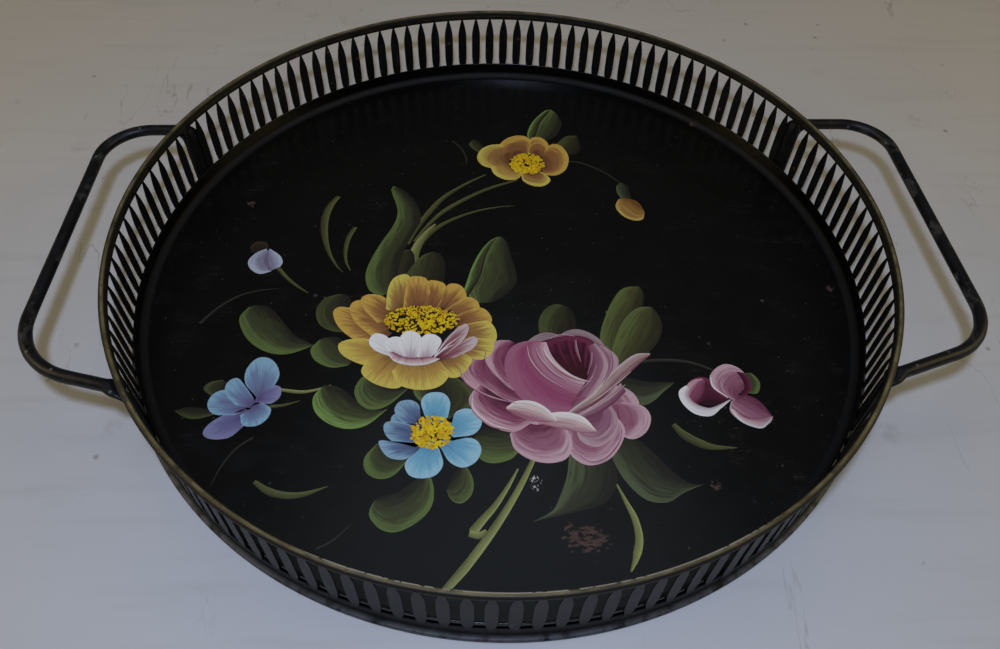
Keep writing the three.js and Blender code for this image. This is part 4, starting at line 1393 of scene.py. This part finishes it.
# %% Side flowers and buds
lilac_flower = Painting("lilac_flower", FLOWER_HEIGHT)
for paint, outer, inner in (
    ("mauve", [(-127, -83), (-135, -86), (-141, -91), (-142.5, -96), (-138, -98.8), (-130, -98),
      (-124.5, -92)], [(-123, -83), (-123, -85), (-123, -87)]),
    ("lilac", [(-130, -75), (-136.5, -71.5), (-142, -74), (-143.5, -80), (-139.5, -85.2),
      (-130, -86)], [(-124, -79), (-125, -81), (-125, -84)]),
    ("lilac", [(-122, -77), (-127, -70), (-132, -64.6), (-136.5, -67.5), (-136, -74), (-130, -80.5)],
     [(-121, -79), (-122, -80), (-123, -82)]),
    ("lilac", [(-121, -76), (-127.5, -68), (-128.5, -60), (-125, -53.4), (-120, -52.3), (-115, -55.6),
      (-111.8, -63), (-114, -71)], [(-121.5, -79), (-120, -79), (-118, -78)]),
    ("mauve", [(-114, -69), (-110.2, -70.5), (-109.8, -75.8), (-113.5, -79.7), (-119, -79.5)],
     [(-119, -75), (-120, -76), (-120, -78)]),
    ("lilac", [(-117.5, -79.5), (-113.2, -82.5), (-114, -88), (-118.5, -92), (-125, -91.5),
      (-127, -86)], [(-120, -80), (-122, -81), (-123, -83)]),
):
    lilac_flower.stroke(paint, outer, inner, pull=True)
lilac_flower.stem("brown", [(-129.5, -84.6), (-127, -83.6), (-125, -82.4)], (0.4, 1.3, 0.4), along=8)
lilac_flower.stroke("brown", [(-139, 21), (-140, 25), (-137, 28.5), (-132, 28), (-130, 24)],
                    [(-137, 19), (-134, 19), (-131, 20)])
lilac_flower.stroke("pale lilac", [(-131, 23), (-136, 20), (-139.5, 14), (-137.5, 8), (-132, 4.2),
                                   (-126, 6)],
                    [(-129, 20), (-130, 16), (-129, 12), (-126, 9)])
lilac_flower.stroke("pale lilac", [(-121.5, 9.5), (-120.6, 13), (-123, 18), (-129, 23)],
                    [(-127, 6), (-129, 10), (-130, 15), (-130, 21)])
lilac_flower.finish()

pink_buds = Painting("pink_buds", FLOWER_HEIGHT)
for paint, outer, inner in (
    ("dark rose", [(87, -77), (90, -71), (96, -68), (101, -70), (104, -77), (108, -82)],
     [(89, -81), (94, -84), (99, -85), (103, -84), (108, -82)]),
    ("deep rose", [(86, -79), (88.5, -73), (93, -69.5), (97, -69)],
     [(92, -84), (96, -81), (98, -77), (99, -71)]),
    ("white", [(88, -73), (84, -76.5), (84.5, -83), (89.5, -89.3), (97, -90.8), (103, -86.5),
      (108.5, -82)], [(90, -74.5), (88.5, -79), (91, -83.5), (96, -86), (100, -85.5), (108.5, -81.4)]),
    ("rose", [(108.5, -83), (107, -88), (110, -93), (115, -96.5), (120, -97.5), (125, -95),
      (127, -92)], [(111, -80), (117, -79.3), (122, -82), (125, -87), (127, -92)]),
    ("blush", [(107.5, -87), (110, -93), (115, -96.7), (121, -97.8), (127, -92)],
     [(110, -87.5), (114, -91), (119, -92.3), (127, -91.5)]),
    ("rose", [(110, -82), (102.5, -76), (100.8, -69), (105, -63), (111, -60.3), (117, -63),
      (120.5, -69)], [(112, -82), (116, -80), (119, -77), (121, -72)]),
    ("dark rose", [(119, -66), (121, -71), (119.5, -77), (115, -80)],
     [(115, -65), (117, -70), (117, -75), (113, -79)]),
):
    pink_buds.stroke(paint, outer, inner)
pink_buds.stem("white", [(101.6, -67), (101.6, -74), (107.5, -80.5)], (0.4, 1.1, 0.5))
pink_buds.finish()

orange_bud = Painting("orange_bud", FLOWER_HEIGHT)
orange_bud.stroke("bud", [(72, 62), (69.6, 56), (72, 49), (78, 44.2), (84, 44.6), (86, 50)],
                  [(76, 63), (80, 62), (83, 60), (85, 56), (86, 52)])
orange_bud.stroke("deep yellow", [(70, 54), (74, 47), (80, 44), (85, 46)], [(72, 54), (76, 49), (80, 47),
    (84, 47.5)])
orange_bud.finish()

# %% [markdown]
# The table is painted wood, pale grey. Faint brush marks, fine cracks and a few small stains keep
# it from looking new. It isn't part of the tray.

# %% Table
def table_paint():
    finish = Finish("table_paint", Specular_IOR_Level=0.2, Roughness=0.7)
    spot = finish.place()
    cloud = finish.noise(finish.stretched(spot, (0.5, 1, 1)), 120, 4)
    fleck = finish.specks(spot, 26, 0.16) * finish.noise(spot, 5, 3).step(0.4, 0.6)
    # Painted light: the table's colour is cool at the front, near the cool lamp, and warms towards the
    # back.
    warm_light_toward_back = finish.parts(spot)[1].step(-330, 330)
    cool_lit_front = finish.blend(cloud, linear("CACDD0"), linear("D7DADD"))
    base = finish.blend(warm_light_toward_back, cool_lit_front, finish.blend(cloud, linear("D2CEC8"), linear("DFDAD4")))
    brushed = finish.noise(finish.stretched(spot, (0.12, 1.2, 1)), 14, 5, 0.6)
    base = finish.blend(brushed.step(0.5, 0.75) * 0.22, base, linear("B4B1AB"))
    line = finish.noise(finish.stretched(spot, (1, 0.35, 1)), 60, 5, 0.55, 0.6)
    cracks = (1 - abs(line - 0.5).step(0.0, 0.006)) * finish.noise(spot, 90, 3).step(0.52, 0.62)
    base = finish.blend(cracks * 0.35, base, linear("77726A"))
    stains = finish.specks(spot, 7, 0.07) * finish.noise(spot, 45, 3).step(0.52, 0.64)
    base = finish.blend(stains * 0.55, base, linear("6E675F"))
    finish.set("Base Color", finish.blend(fleck * 0.2, base, linear("8F8C84")))
    finish.set("Normal", finish.bump(finish.noise(spot, 6, 4), 0.12 * MM))
    return finish


TABLE = 3.0                 # metres
table_mesh = bpy.data.meshes.new("table")
half = TABLE / 2
table_mesh.from_pydata([(-half, -half, 0), (half, -half, 0), (half, half, 0), (-half, half, 0)], [],
                       [(0, 1, 2, 3)])
table_mesh.materials.append(table_paint().material)
table = bpy.data.objects.new("table", table_mesh)
bpy.context.collection.objects.link(table)
print("table", TABLE, "m square")
